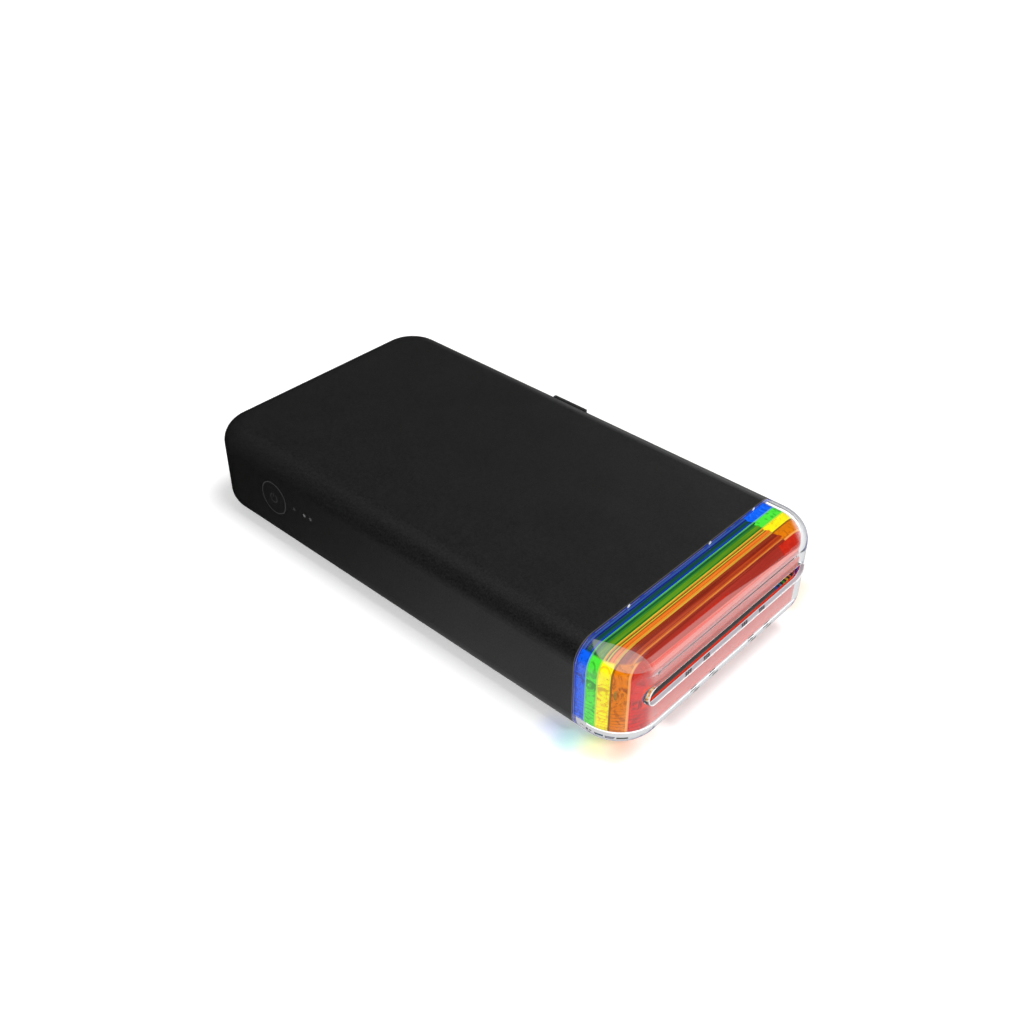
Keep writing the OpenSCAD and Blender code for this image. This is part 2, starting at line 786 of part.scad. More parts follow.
board_z = deck_z + deck_t + main_rise;
lead_inset = 6;
lead_x = main_screw_x - lead_inset;
lead_pitch = 1.6;
lead_r = 0.5;
plug_w = 6;
plug_l = 4.5;
plug_h = 2.4;
plug_y1 = main_y0 + main_l - 1;
socket_l = 9;
socket_w = 3.5;
charge_half_w = 12;
charge_y0 = deck_y1 - 12;

// A slot across a sheet that lets a round pin move down by the head's travel
module pin_slot(x0, x1) {
    rod_x(head_pin_c, head_pin_r + 0.1, x0, x1);
    rod_x(head_pin_c - [0, head_travel + 0.1], head_pin_r + 0.1, x0, x1);
    block([x0, head_pin_c[0] - head_pin_r - 0.1, head_pin_c[1] - head_travel - 0.1],
          [x1, head_pin_c[0] + head_pin_r + 0.1, head_pin_c[1]]);
}

module chassis() {
    color([0.62, 0.63, 0.64]) difference() {
        union() {
            // left side plate, floor, and the rail under the floor's right edge
            block([plate_x0, chassis_y0, floor_z], [plate_x, chassis_y1, plate_top_z]);
            block([plate_x - weld, chassis_y0, floor_plate_z],
                  [ear_x1, chassis_y1, floor_plate_z + floor_plate_t]);
            block([ear_x, cart_y0, floor_z], [ear_x1, chassis_y1, floor_plate_z + weld]);
            // right ears of the feed pair and of the head
            block([ear_x, feed_c[0] - feed_ear_half_w, floor_plate_z],
                  [ear_x1, feed_c[0] + feed_ear_half_w, pinch_c[1] + bush_r + 1]);
            block([ear_x, gap_y0 + head_ear_gap, floor_plate_z],
                  [ear_x1, gap_y1 - head_ear_gap, plate_top_z]);
            // bridge over the head
            block([plate_x - weld, head_y - head_w / 2, bridge_z],
                  [ear_x1, head_y + head_w / 2, plate_top_z]);
            // deck, and its arm that carries the pickup roller's right ear
            block([plate_x - weld, deck_y0, deck_z], [-plate_x, deck_y1, deck_z + deck_t]);
            block([arm_x, arm_y0, deck_z], [arm_x + arm_w, deck_y0 + 1, deck_z + deck_t]);
            block([pickup_ear_x, arm_y0, pickup_c[1] - bush_r - 0.35],
                  [pickup_ear_x + sheet_t, pickup_c[0] + arm_lead, deck_z + weld]);
            // posts of the bottom cover's screws, and seats of the main board
            for (x = [-1, 1], y = post_ys) rod_z(x * foot_x, y, post_r, floor_z, floor_plate_z + weld);
            for (x = [-1, 1], y = main_screw_ys)
                rod_z(x * main_screw_x, y, main_boss_r, deck_z + deck_t - weld, board_z);
        }
        for (c = left_bushes) rod_x(c, bush_r, plate_x0 - 1, plate_x + 1);
        for (c = right_bushes) rod_x(c, bush_r, ear_x - 1, ear_x1 + 1);
        rod_x(pickup_c, bush_r, pickup_ear_x - 1, pickup_ear_x + sheet_t + 1);
        for (c = [transfer_c, front_idler_c]) rod_x(c, shaft_r + seat, plate_x0 - 1, plate_x + 1);
        rod_x(motor_c, motor_boss_r + glue_gap, plate_x0 - 1, plate_x + 1);
        pin_slot(plate_x0 - 1, plate_x + 1);
        pin_slot(ear_x - 1, ear_x1 + 1);
        for (x = [-1, 1], y = post_ys) rod_z(x * foot_x, y, screw_r, floor_z - 1, floor_plate_z + 2);
        for (x = [-1, 1], y = deck_screw_ys)
            rod_z(x * deck_screw_x, y, screw_r + glue_gap, deck_z - 1, deck_z + deck_t + 1);
        for (x = [-1, 1], y = main_screw_ys)
            rod_z(x * main_screw_x, y, main_screw_r + thread_gap, deck_z - 1, board_z + 1);
    }
}

module chassis_screws() {
    color([0.55, 0.55, 0.57]) for (x = [-1, 1], y = deck_screw_ys)
        screw_up(x * deck_screw_x, y, deck_z - screw_head_t, ceiling_z - deck_screw_end - deck_z,
                 screw_r - thread_gap, screw_head_r, screw_head_t);
}

// A flanged bush in a sheet that runs from x0 to x1; the flange lies on the inner side
module bush(c, x0, x1, side) {
    difference() {
        union() {
            rod_x(c, bush_r - seat, x0, x1);
            rod_x(c, bush_flange_r, side > 0 ? x1 : x0 - bush_flange_t, side > 0 ? x1 + bush_flange_t : x0);
        }
        rod_x(c, shaft_r + shaft_gap, x0 - 1, x1 + 1);
    }
}

module roller_bushes() {
    color([0.72, 0.55, 0.25]) {
        for (c = left_bushes) bush(c, plate_x0, plate_x, 1);
        for (c = right_bushes) bush(c, ear_x, ear_x1, -1);
        bush(pickup_c, pickup_ear_x, pickup_ear_x + sheet_t, -1);
    }
}

module main_board() {
    color(board_green) difference() {
        block([-main_half_w, main_y0, board_z], [main_half_w, main_y0 + main_l, board_z + board_t]);
        for (x = [-1, 1], y = main_screw_ys)
            rod_z(x * main_screw_x, y, main_screw_r + 2 * glue_gap, board_z - 1, board_z + board_t + 1);
    }
}

// The processor, a driver, a regulator, the battery's plug and the head's socket
module board_parts() {
    top = board_z + board_t;
    mid = main_y0 + main_l / 2;
    socket_x = -main_screw_x + main_edge;
    color([0.09, 0.09, 0.1]) {
        pad(9, 9, 0.4, -4, mid, top, top + 1);
        pad(6, 5, 0.4, 8, mid - 1.5, top, top + 0.9);
        pad(4, 4, 0.3, -14, mid + 2, top, top + 0.8);
    }
    color(white_plastic) {
        block([lead_x - plug_w / 2, plug_y1 - plug_l, top], [lead_x + plug_w / 2, plug_y1, top + plug_h]);
        block([socket_x, main_y0 + 1, top], [socket_x + socket_l, main_y0 + 1 + socket_w, top + 1.6]);
    }
}

module board_screws() {
    color(steel) for (x = [-1, 1], y = main_screw_ys) {
        rod_z(x * main_screw_x, y, main_screw_r, deck_z, board_z + board_t);
        rod_z(x * main_screw_x, y, main_head_r, board_z + board_t, board_z + board_t + main_head_t);
    }
}

module battery_pack() {
    color([0.3, 0.32, 0.36])
        pad(2 * battery_half_w, battery_y1 - battery_y0, battery_corner_r, 0, (battery_y0 + battery_y1) / 2,
            deck_z + deck_t, deck_z + deck_t + battery_h);
}

module battery_lead() {
    color([0.7, 0.08, 0.06]) for (i = [-1:1])
        rod_y(lead_x + i * lead_pitch, board_z + board_t + plug_h / 2, lead_r, plug_y1, battery_y0);
}

module charging_board() {
    color(board_green)
        block([-charge_half_w, charge_y0, deck_z - board_t], [charge_half_w, deck_y1, deck_z]);
}

module charging_socket() {
    color(steel) difference() {
        slot_bar(usb_w, usb_h, usb_z, usb_y0, usb_y1);
        slot_bar(usb_w - 2 * usb_t, usb_h - 2 * usb_t, usb_z, usb_y0 + 2 * usb_t, usb_y1 + 1);
    }
    color([0.1, 0.1, 0.1])
        block([-usb_tongue_w / 2, usb_y0 + 2 * usb_t, usb_z - usb_tongue_t / 2],
              [usb_tongue_w / 2, usb_y1 - 1, usb_z + usb_tongue_t / 2]);
}

// ---------- print head ----------

module head_heatsink() {
    color([0.78, 0.79, 0.8]) difference() {
        block([-head_half_l, head_y - head_w / 2, sink_z0], [head_half_l, head_y + head_w / 2, sink_z1]);
        for (i = [-4:4])
            block([i * fin_pitch - fin_gap / 2, head_y - head_w, sink_z0 + fin_root * (sink_z1 - sink_z0)],
                  [i * fin_pitch + fin_gap / 2, head_y + head_w, sink_z1 + 1]);
        rod_x(head_pin_c, head_pin_r, -head_half_l - 1, -head_half_l + head_pin_l + glue_gap);
        rod_x(head_pin_c, head_pin_r, head_half_l - head_pin_l - glue_gap, head_half_l + 1);
    }
}

module thermal_head() {
    color([0.8, 0.76, 0.68])
        block([-head_half_l, head_y - head_w / 2 + element_inset, head_z],
              [head_half_l, head_y + head_w / 2 - element_inset, sink_z0]);
}

module head_guide_pins() {
    color(steel) {
        rod_x(head_pin_c, head_pin_r - seat, plate_x0, -head_half_l + head_pin_l);
        rod_x(head_pin_c, head_pin_r - seat, head_half_l - head_pin_l, ear_x1);
    }
}

module head_springs() {
    color(steel) for (x = [-1, 1]) coil_spring(x * head_spring_x, head_y, sink_z1, bridge_z, 1.5, 0.2, 3);
}

// ---------- rollers ----------

roller_half_l = paper_w / 2;
collar_t = 0.5;
collar_gap = 0.1;
tread_x = 14;
tread_l = 18;
shaft_end_l = 0.4;
collar_r = 1.8;

// A shaft between its two bushes, with a collar inside each bush
module roller_shaft(c, x0, right_x) {
    in0 = plate_x + bush_flange_t + collar_gap;
    in1 = right_x - bush_flange_t - collar_gap;
    rod_x(c, shaft_r, x0, right_x + sheet_t + shaft_end_l);
    rod_x(c, collar_r, in0, in0 + collar_t);
    rod_x(c, collar_r, in1 - collar_t, in1);
}

module platen_shaft() {
    color(steel) roller_shaft(platen_c, gear_x, ear_x);
}

module platen_roller() {
    color([0.06, 0.06, 0.06]) tube_x(platen_c, platen_r, shaft_r + seat, -roller_half_l, roller_half_l);
}

module platen_gear() {
    color(white_plastic) gear(platen_c, roller_n, platen_turn, shaft_r + seat);
}

module feed_shaft() {
    color(steel) roller_shaft(feed_c, gear_x, ear_x);
}

module feed_rollers() {
    color([0.07, 0.07, 0.07]) for (x = [-1, 1])
        tube_x(feed_c, feed_r, shaft_r + seat, x * tread_x - tread_l / 2, x * tread_x + tread_l / 2);
}

module feed_gear() {
    color(white_plastic) gear(feed_c, roller_n, feed_turn, shaft_r + seat);
}

module pinch_shaft() {
    color(steel) roller_shaft(pinch_c, plate_x0 - shaft_end_l, ear_x);
}

module pinch_rollers() {
    color([0.3, 0.3, 0.31]) for (x = [-1, 1])
        tube_x(pinch_c, pinch_r, shaft_r + seat, x * tread_x - tread_l / 2, x * tread_x + tread_l / 2);
}

module pickup_shaft() {
    color(steel) roller_shaft(pickup_c, gear_x, pickup_ear_x);
}

// A roller with a flat, which clears the stack while the sheet runs
module pickup_roller() {
    color([0.05, 0.05, 0.05]) difference() {
        tube_x(pickup_c, pickup_r, shaft_r + seat, -pickup_half_l, pickup_half_l);
        block([-pickup_half_l - 1, pickup_c[0] - far, pickup_c[1] - far],
              [pickup_half_l + 1, pickup_c[0] + far, pickup_c[1] - shaft_r - 0.5]);
    }
}

module pickup_gear() {
    color(white_plastic) gear(pickup_c, pickup_n, pickup_turn, shaft_r + seat);
}

// ---------- gear train ----------

module transfer_gear() {
    color(white_plastic) gear(transfer_c, roller_n, transfer_turn, shaft_r + shaft_gap);
}

module front_idler_gear() {
    color(white_plastic) gear(front_idler_c, idler_n, front_idler_turn, shaft_r + shaft_gap);
}

clip_w = 0.7;
clip_t = 0.2;
clip_gap = 0.1;

module idler_studs() {
    color(steel) for (c = [transfer_c, front_idler_c]) {
        rod_x(c, shaft_r, gear_x - clip_gap - clip_t, plate_x);
        rod_x(c, shaft_r + clip_w, gear_x1 + clip_gap, plate_x0);
        rod_x(c, shaft_r + clip_w, gear_x - clip_gap - clip_t, gear_x - clip_gap);
    }
}

peg_r = 1.1;
peg_x1 = cart_x0 + 2.3;

// The gear that turns the take-up spool, with its journal and its six-sided peg
module ribbon_drive_gear() {
    color(white_plastic) {
        gear(takeup_c, ribbon_n, ribbon_turn, shaft_r / 2);
        rod_x(takeup_c, shaft_r, gear_x, plate_x + bush_flange_t);
        translate([plate_x, takeup_c[0], takeup_c[1]]) rotate([0, 90, 0])
            cylinder(h = peg_x1 - plate_x, r = peg_r, $fn = 6);
    }
}

motor_shaft_r = 0.5;
motor_l = 17;
motor_cap_l = 1.2;
motor_cap_r = 3.4;
motor_boss_r = 1.9;
motor_bore_l = 4;

module drive_motor() {
    color([0.7, 0.7, 0.71]) difference() {
        union() {
            rod_x(motor_c, motor_r, plate_x, plate_x + motor_l);
            rod_x(motor_c, motor_boss_r, plate_x0, plate_x + weld);
            rod_x(motor_c, motor_cap_r, plate_x + motor_l - weld, plate_x + motor_l + motor_cap_l);
        }
        rod_x(motor_c, motor_shaft_r + shaft_gap, plate_x0 - 1, plate_x + motor_bore_l);
    }
}

module motor_pinion() {
    color([0.8, 0.66, 0.3]) {
        gear(motor_c, pinion_n, pinion_turn, motor_shaft_r - weld);
        rod_x(motor_c, motor_shaft_r, gear_x, plate_x + motor_bore_l - 0.2);
    }
}

// ---------- cartridge ----------

end_t = 1.2;
end_x0 = cart_x1 - end_t;
chamber_z0 = path_z + 1.3;
film_drop = 1.7;
supply_floor_z = min(path_z - film_drop, supply_c[1] - supply_r - roll_gap - shell_t);
rib_drop = 0.8;
finger_r = 5;
finger_y = door_y + 18;
sheet_gap = 0.3;
journal_r = 1.6;
rib_w = 0.8;
rib_x = (paper_w + rib_w) / 2;
ribbon_half_w = ear_x - eject - 0.5;
film_t = 0.1;
film_z = path_z + nip;

module cartridge_shell() {
    front_z = stack_z + stack_h - 0.3;
    tray_z = cart_z0 + tray_h;
    in_y = gap_y0 - shell_t;
    color([0.17, 0.18, 0.2]) difference() {
        union() {
            // tray: floor, leading side, back, low front and two ribs that guide the sheets
            block([cart_x0, gap_y1, cart_z0], [cart_x1, tray_y1, stack_z]);
            block([cart_x0, gap_y1, cart_z0], [cart_x0 + shell_t, tray_y1, tray_z]);
            block([cart_x0, tray_y1 - shell_t, cart_z0], [cart_x1, tray_y1, tray_z]);
            block([cart_x0, gap_y1, cart_z0], [cart_x1, gap_y1 + shell_t * 0.4, front_z]);
            for (s = [-1, 1])
                block([s * rib_x - rib_w / 2, supply_y1 + 2, stack_z - weld],
                      [s * rib_x + rib_w / 2, tray_y1 - 6, tray_z - rib_drop]);
            // end plate that faces the door, with its pull tab
            block([end_x0, cart_y0, cart_z0], [cart_x1, tray_y1, cart_top_z]);
            // take-up chamber, open below
            block([cart_x0, cart_y0, chamber_z0], [cart_x0 + shell_t, gap_y0, cart_top_z]);
            block([cart_x0, cart_y0, roof_z], [cart_x1, gap_y0, cart_top_z]);
            block([cart_x0, cart_y0, chamber_z0], [cart_x1, cart_y0 + shell_t, cart_top_z]);
            block([cart_x0, in_y, chamber_z0], [cart_x1, gap_y0, cart_top_z]);
            // supply chamber
            block([cart_x0, gap_y1, cart_z0], [cart_x0 + shell_t, supply_y1, cart_top_z]);
            block([cart_x0, gap_y1, roof_z], [cart_x1, supply_y1, cart_top_z]);
            block([cart_x0, gap_y1, chamber_z0], [cart_x1, gap_y1 + shell_t, cart_top_z]);
            block([cart_x0, supply_y1 - shell_t, supply_floor_z], [cart_x1, supply_y1, cart_top_z]);
            block([cart_x0, gap_y1, supply_floor_z], [cart_x1, supply_y1, supply_floor_z + shell_t]);
        }
        for (c = [takeup_c, supply_c]) rod_x(c, journal_r + shaft_gap, cart_x0 - 1, cart_x1 + 1);
        // finger hollow in the end plate
        rod_x([finger_y, (cart_z0 + cart_top_z) / 2], finger_r, end_x0 - 1, cart_x1 + 1);
    }
}

// A spool: core, two journals, and the socket of the drive peg in its leading end
module spool(c) {
    difference() {
        union() {
            rod_x(c, core_r, cart_x0 + shell_t + 0.1, end_x0 - 0.1);
            rod_x(c, journal_r, cart_x0 + 0.1, cart_x1 - 0.1);
        }
        rod_x(c, peg_r + 0.15, cart_x0 - 1, peg_x1 + 0.7);
    }
}

module supply_spool() {
    color(white_plastic) spool(supply_c);
}

module takeup_spool() {
    color(white_plastic) spool(takeup_c);
}

module supply_ribbon() {
    color([0.55, 0.12, 0.35]) tube_x(supply_c, supply_r, core_r + seat, -ribbon_half_w, ribbon_half_w);
}

module takeup_ribbon() {
    color([0.1, 0.25, 0.5]) tube_x(takeup_c, takeup_r, core_r + seat, -ribbon_half_w, ribbon_half_w);
}

// The ribbon between the spools: down from one, under the head, and up to the other
module ribbon_film() {
    y0 = takeup_c[0] + takeup_r + 0.05;
    y1 = supply_c[0] - supply_r - 0.05;
    color([0.45, 0.15, 0.45]) {
        block([-ribbon_half_w, y0, film_z], [ribbon_half_w, y1, film_z + film_t]);
        block([-ribbon_half_w, y0, film_z], [ribbon_half_w, y0 + film_t, takeup_c[1]]);
        block([-ribbon_half_w, y1 - film_t, film_z], [ribbon_half_w, y1, supply_c[1]]);
    }
}

module paper_stack() {
    y0 = gap_y1 + shell_t * 0.4 + sheet_gap;
    color([0.93, 0.93, 0.9])
        block([-paper_w / 2, y0, stack_z], [paper_w / 2, y0 + paper_l - 2 * sheet_gap, stack_z + stack_h]);
}

main_case();
bottom_cover();
rubber_feet();
cover_screws();
clear_front_cap();
red_front_plate();
orange_plate();
yellow_plate();
green_plate();
blue_plate();
cap_backplate();
paper_chute();
power_button();
button_switch();
side_board();
status_lenses();
status_leds();
cartridge_door();
door_hinge_pins();
door_latch();
latch_spring();
chassis();
chassis_screws();
roller_bushes();
main_board();
board_parts();
board_screws();
battery_pack();
battery_lead();
charging_board();
charging_socket();
head_heatsink();
thermal_head();
head_guide_pins();
head_springs();
platen_roller();
platen_shaft();
platen_gear();
feed_rollers();
feed_shaft();
feed_gear();
pinch_rollers();
pinch_shaft();
pickup_roller();
pickup_shaft();
pickup_gear();
transfer_gear();
front_idler_gear();
idler_studs();
ribbon_drive_gear();
drive_motor();
motor_pinion();
cartridge_shell();
supply_spool();
supply_ribbon();
takeup_spool();
takeup_ribbon();
ribbon_film();
paper_stack();
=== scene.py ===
import json
import math

import bmesh
import bpy
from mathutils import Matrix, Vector


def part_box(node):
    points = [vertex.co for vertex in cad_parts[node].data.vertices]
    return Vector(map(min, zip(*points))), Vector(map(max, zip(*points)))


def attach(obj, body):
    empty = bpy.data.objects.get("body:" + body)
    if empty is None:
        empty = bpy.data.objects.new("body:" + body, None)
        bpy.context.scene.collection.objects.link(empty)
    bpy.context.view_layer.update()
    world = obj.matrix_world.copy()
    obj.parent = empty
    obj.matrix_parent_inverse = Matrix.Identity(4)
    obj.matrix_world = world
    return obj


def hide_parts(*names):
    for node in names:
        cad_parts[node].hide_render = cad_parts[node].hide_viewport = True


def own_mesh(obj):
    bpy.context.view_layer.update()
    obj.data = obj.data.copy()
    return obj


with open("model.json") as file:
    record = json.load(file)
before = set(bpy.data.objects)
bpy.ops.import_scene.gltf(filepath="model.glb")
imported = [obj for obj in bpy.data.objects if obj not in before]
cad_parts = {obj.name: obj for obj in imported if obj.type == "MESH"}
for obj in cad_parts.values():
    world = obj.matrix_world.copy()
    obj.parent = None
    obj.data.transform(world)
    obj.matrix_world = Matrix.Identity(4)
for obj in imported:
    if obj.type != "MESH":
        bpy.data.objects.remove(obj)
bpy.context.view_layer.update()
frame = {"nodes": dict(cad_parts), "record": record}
scene = bpy.context.scene

# Dresses the imported photo printer: a material for each node, the thin lines of painted light and
# shade that its clear cap shows, the spring of its latch, the floor, the light and the camera.

MM = 0.001
SLOT_OF = {part["node"]: part["material_slot"] for part in frame["record"]["subparts"]}


def millimetres(node):
    """The lowest and highest corners of a node."""
    return [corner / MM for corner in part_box(node)]


# The body in section across the paper, and its ends. The radii and the slot are as in part.scad.
CASE_LOW, CASE_HIGH = millimetres("main_case")
BODY_HALF_W = (CASE_HIGH.x - CASE_LOW.x) / 2
BODY_HALF_H = (CASE_HIGH.z - CASE_LOW.z) / 2
BODY_MIDDLE_Z = (CASE_HIGH.z + CASE_LOW.z) / 2
BODY_EDGE_R = 6
CORNER_R = 11.2
SEAM_Y = CASE_LOW.y
FRONT_Y = millimetres("clear_front_cap")[0].y
SLOT_HALF_W, SLOT_HALF_H, SLOT_Z = 31.75, 2.75, 15.5
BUTTON_R = 5


def rgb(red, green, blue):
    """The linear colour that shows on a screen with these values from 0 to 255."""
    def linear(value):
        value /= 255
        return value / 12.92 if value <= 0.04045 else ((value + 0.055) / 1.055) ** 2.4
    return (linear(red), linear(green), linear(blue), 1)


def grey(value):
    return rgb(value, value, value)


WHITE = (1, 1, 1, 1)
BLACK = (0, 0, 0, 1)


def add_object(name, data):
    made = bpy.data.objects.new(name, data)
    scene.collection.objects.link(made)
    return made


# ---------- camera ----------

PHOTO_PIXELS = 1024
FOCAL_PIXELS = 1215.35
SENSOR_MM = 36
CAMERA_AT = Vector((-0.191108, -0.181411, 0.208516))
CAMERA_LOOKS = Vector((0.5884, 0.5449, -0.5974))


def add_camera():
    data = bpy.data.cameras.new("camera")
    data.sensor_width = SENSOR_MM
    data.lens = SENSOR_MM * FOCAL_PIXELS / PHOTO_PIXELS
    data.clip_start = 0.005
    camera = add_object("camera", data)
    camera.location = CAMERA_AT
    camera.rotation_euler = CAMERA_LOOKS.to_track_quat("-Z", "Y").to_euler()
    scene.camera = camera


# ---------- materials ----------

WAVES_PER_TURN = 20


class Finish:
    """A material in the making. Places are in millimetres in the part's frame at rest.
    Each method adds nodes and returns the socket that the next one takes."""

    def __init__(self, name, tree=None):
        if tree is None:
            self.material = bpy.data.materials.new(name)
            self.material.use_nodes = True
            tree = self.material.node_tree
        self.tree = tree
        self.tree.nodes.clear()
        self.place = self.vector("SCALE", self.node("TexCoord", output="Object"), scale=1 / MM)
        self.x, self.y, self.z = self.split(self.place)

    def node(self, kind, inputs=None, output=0, **settings):
        """Adds a node and returns one of its outputs, or all of them where output is None. inputs are
        sockets or values by the name or number of the node's socket."""
        made = self.tree.nodes.new("ShaderNode" + kind)
        for name, value in settings.items():
            setattr(made, name, value)
        for key, value in (inputs or {}).items():
            if isinstance(value, bpy.types.NodeSocket):
                self.tree.links.new(value, made.inputs[key])
            elif value is not None:
                made.inputs[key].default_value = value
        return made.outputs if output is None else made.outputs[output]

    def vector(self, operation, first, second=None, scale=None):
        output = "Value" if operation in ("LENGTH", "DOT_PRODUCT") else "Vector"
        return self.node("VectorMath", {0: first, 1: second, "Scale": scale}, output, operation=operation)

    def away_from(self, middle, weights):
        """The way from middle to here, with each axis multiplied by its weight."""
        return self.vector("MULTIPLY", self.vector("SUBTRACT", self.place, middle), weights)

    def split(self, vector):
        return self.node("SeparateXYZ", {0: vector}, None)[:]

    def math(self, operation, first, second=None, third=None):
        return self.node("Math", {0: first, 1: second, 2: third}, operation=operation)

    def minus(self, first, second):
        return self.math("SUBTRACT", first, second)

    def either(self, first, second):
        """The greater, which of masks is 1 where at least one is 1."""
        return self.math("MAXIMUM", first, second)

    def mix(self, share, first, second, blend="MIX"):
        return self.node("Mix", {0: share, 6: first, 7: second}, 2, data_type="RGBA", blend_type=blend)

    def mix_shaders(self, share, first, second):
        return self.node("MixShader", {0: share, 1: first, 2: second})

    def mix_value(self, share, first, second):
        return self.node("Mix", {0: share, 2: first, 3: second}, data_type="FLOAT")

    def rise(self, value, low, high, to_low=0, to_high=1, interpolation="SMOOTHSTEP"):
        """Goes from to_low to to_high as value goes from low to high."""
        return self.node("MapRange", {0: value, 1: low, 2: high, 3: to_low, 4: to_high},
                         interpolation_type=interpolation)

    def inverse(self, mask):
        return self.rise(mask, 0, 1, 1, 0)

    def line(self, value, slope, start):
        """The height over value of a straight line that starts at start."""
        return self.math("MULTIPLY_ADD", value, slope, start)

    def past(self, value, limit, soft):
        """1 where value is past limit or, with soft below 0, short of it."""
        return self.rise(self.minus(value, limit), -soft, soft)

    def off(self, value, middle):
        """How far value is from middle."""
        return self.math("ABSOLUTE", self.minus(value, middle))

    def within(self, value, low, high, soft):
        """1 where value lies between low and high, with soft edges."""
        into = self.rise(value, low - soft, low + soft)
        return self.times(into, self.rise(value, high - soft, high + soft, 1, 0))

    def times(self, *factors):
        """The product, which of masks is 1 where each of them is 1."""
        result = factors[0]
        for factor in factors[1:]:
            result = self.math("MULTIPLY", result, factor)
        return result

    def noise(self, size, detail=2, warp=0, stretch=None):
        """Soft noise from 0 to 1 whose blots are about size millimetres wide, and longer along an
        axis whose stretch is below 1."""
        place = self.vector("MULTIPLY", self.place, stretch) if stretch else self.place
        return self.node("TexNoise", {"Vector": place, "Scale": 1 / size, "Detail": detail,
                                      "Distortion": warp}, "Fac")

    def cells(self, size):
        """The distance, from 0 to 1, to the nearest of points scattered about size millimetres apart."""
        return self.node("TexVoronoi", {"Vector": self.place, "Scale": 1 / size}, "Distance")

    def waves(self, size, axis, warp=0, warp_size=1):
        """Bands across axis, size millimetres apart."""
        return self.node("TexWave", {
            "Vector": self.place, "Scale": math.tau / WAVES_PER_TURN / size, "Distortion": warp,
            "Detail": 1, "Detail Scale": 1 / warp_size}, "Fac", wave_type="BANDS", bands_direction=axis)

    def ramp(self, value, stops, steps=False):
        """The colour for value among stops of (place from 0 to 1, colour), blended unless in steps."""
        colour_out = self.node("ValToRGB", {0: value})
        ramp = colour_out.node.color_ramp
        ramp.interpolation = "CONSTANT" if steps else "LINEAR"
        while len(ramp.elements) < len(stops):
            ramp.elements.new(1)
        for element, (place, colour) in zip(ramp.elements, stops):
            element.position = place
            element.color = colour
        return colour_out

    def bump(self, height, depth, strength=1):
        """A relief depth millimetres deep where height goes from 0 to 1."""
        return self.node("Bump", {"Strength": strength, "Distance": depth * MM, "Height": height})

    def surface(self, **sockets):
        """Adds the shader, whose sockets are named in lower case with underscores."""
        return self.node("BsdfPrincipled", {
            name.replace("_", " ").title().replace("Ior", "IOR"): value for name, value in sockets.items()})

    def done(self, shader):
        self.node("OutputMaterial", {"Surface": shader}, None)
        return self.material

    def finish(self, colour, roughness, **sockets):
        """The material that is one such surface."""
        return self.done(self.surface(base_color=colour, roughness=roughness, **sockets))


def shaded(colour, factor):
    """The same colour, darker or lighter."""
    return tuple(part * factor for part in colour[:3]) + (1,)


def moulded(name, colour, rough=0.5, level=0.3, grain=0.35, depth=0.01, speckle=0.15):
    """Moulded plastic: an even colour with the fine grain of the mould and faint flow marks."""
    f = Finish(name)
    fine = f.noise(grain, detail=3)
    flow = f.noise(grain * 40, warp=0.6)
    tone = f.mix(fine, shaded(colour, 1 - speckle), shaded(colour, 1 + speckle))
    tone = f.mix(f.rise(flow, 0.35, 0.7, 0, 0.12), tone, shaded(colour, 1.35))
    gloss = f.rise(flow, 0.3, 0.7, rough - 0.03, rough + 0.04)
    return f.finish(tone, gloss, specular_ior_level=level, normal=f.bump(fine, depth))


def grainy_black(f, fine):
    return f.mix(f.rise(fine, 0.3, 0.7), grey(12), grey(34))


def case_black(name):
    """Matt black moulding with a fine visible grain, and a painted highlight along its rim at the seam."""
    f = Finish(name)
    fine = f.noise(0.35, detail=3)
    flow = f.noise(14, warp=0.6)
    # Painted highlight: a lighter grey line along the rim at the seam.
    rim_highlight = f.rise(f.y, SEAM_Y + 0.25, SEAM_Y + 0.15)
    tone = f.mix(rim_highlight, grainy_black(f, fine), rgb(96, 94, 88))
    gloss = f.rise(flow, 0.3, 0.7, 0.38, 0.44)
    return f.finish(tone, gloss, specular_ior_level=0.5, normal=f.bump(fine, 0.012))


def metal(name, colour, rough=0.3, grain=(1, 1, 1), size=0.12, depth=0.004, tarnish=0.15):
    """Bare metal with the marks of its making drawn out along the axes where grain is small."""
    f = Finish(name)
    marks = f.noise(size, detail=3, stretch=grain)
    stain = f.noise(4, detail=3, warp=0.8)
    tone = f.mix(marks, shaded(colour, 0.82), shaded(colour, 1.08))
    tone = f.mix(f.rise(stain, 0.5, 0.75, 0, tarnish), tone, shaded(colour, 0.45))
    gloss = f.rise(marks, 0.2, 0.8, rough - 0.08, rough + 0.1)
    return f.finish(tone, gloss, metallic=1, normal=f.bump(marks, depth))


def spring_wire(name):
    return metal(name, grey(196), 0.25, size=0.06)


def rubber(name, colour, grain=(1, 1, 1), size=0.2):
    """Ground rubber: matt, with the marks of grinding and a little pale dust."""
    f = Finish(name)
    marks = f.noise(size, detail=4, stretch=grain)
    dust = f.noise(1.3, detail=5)
    tone = f.mix(marks, shaded(colour, 0.75), shaded(colour, 1.25))
    tone = f.mix(f.rise(dust, 0.58, 0.8, 0, 0.25), tone, shaded(colour, 3))
    return f.finish(tone, 0.85, specular_ior_level=0.25, normal=f.bump(marks, 0.03))


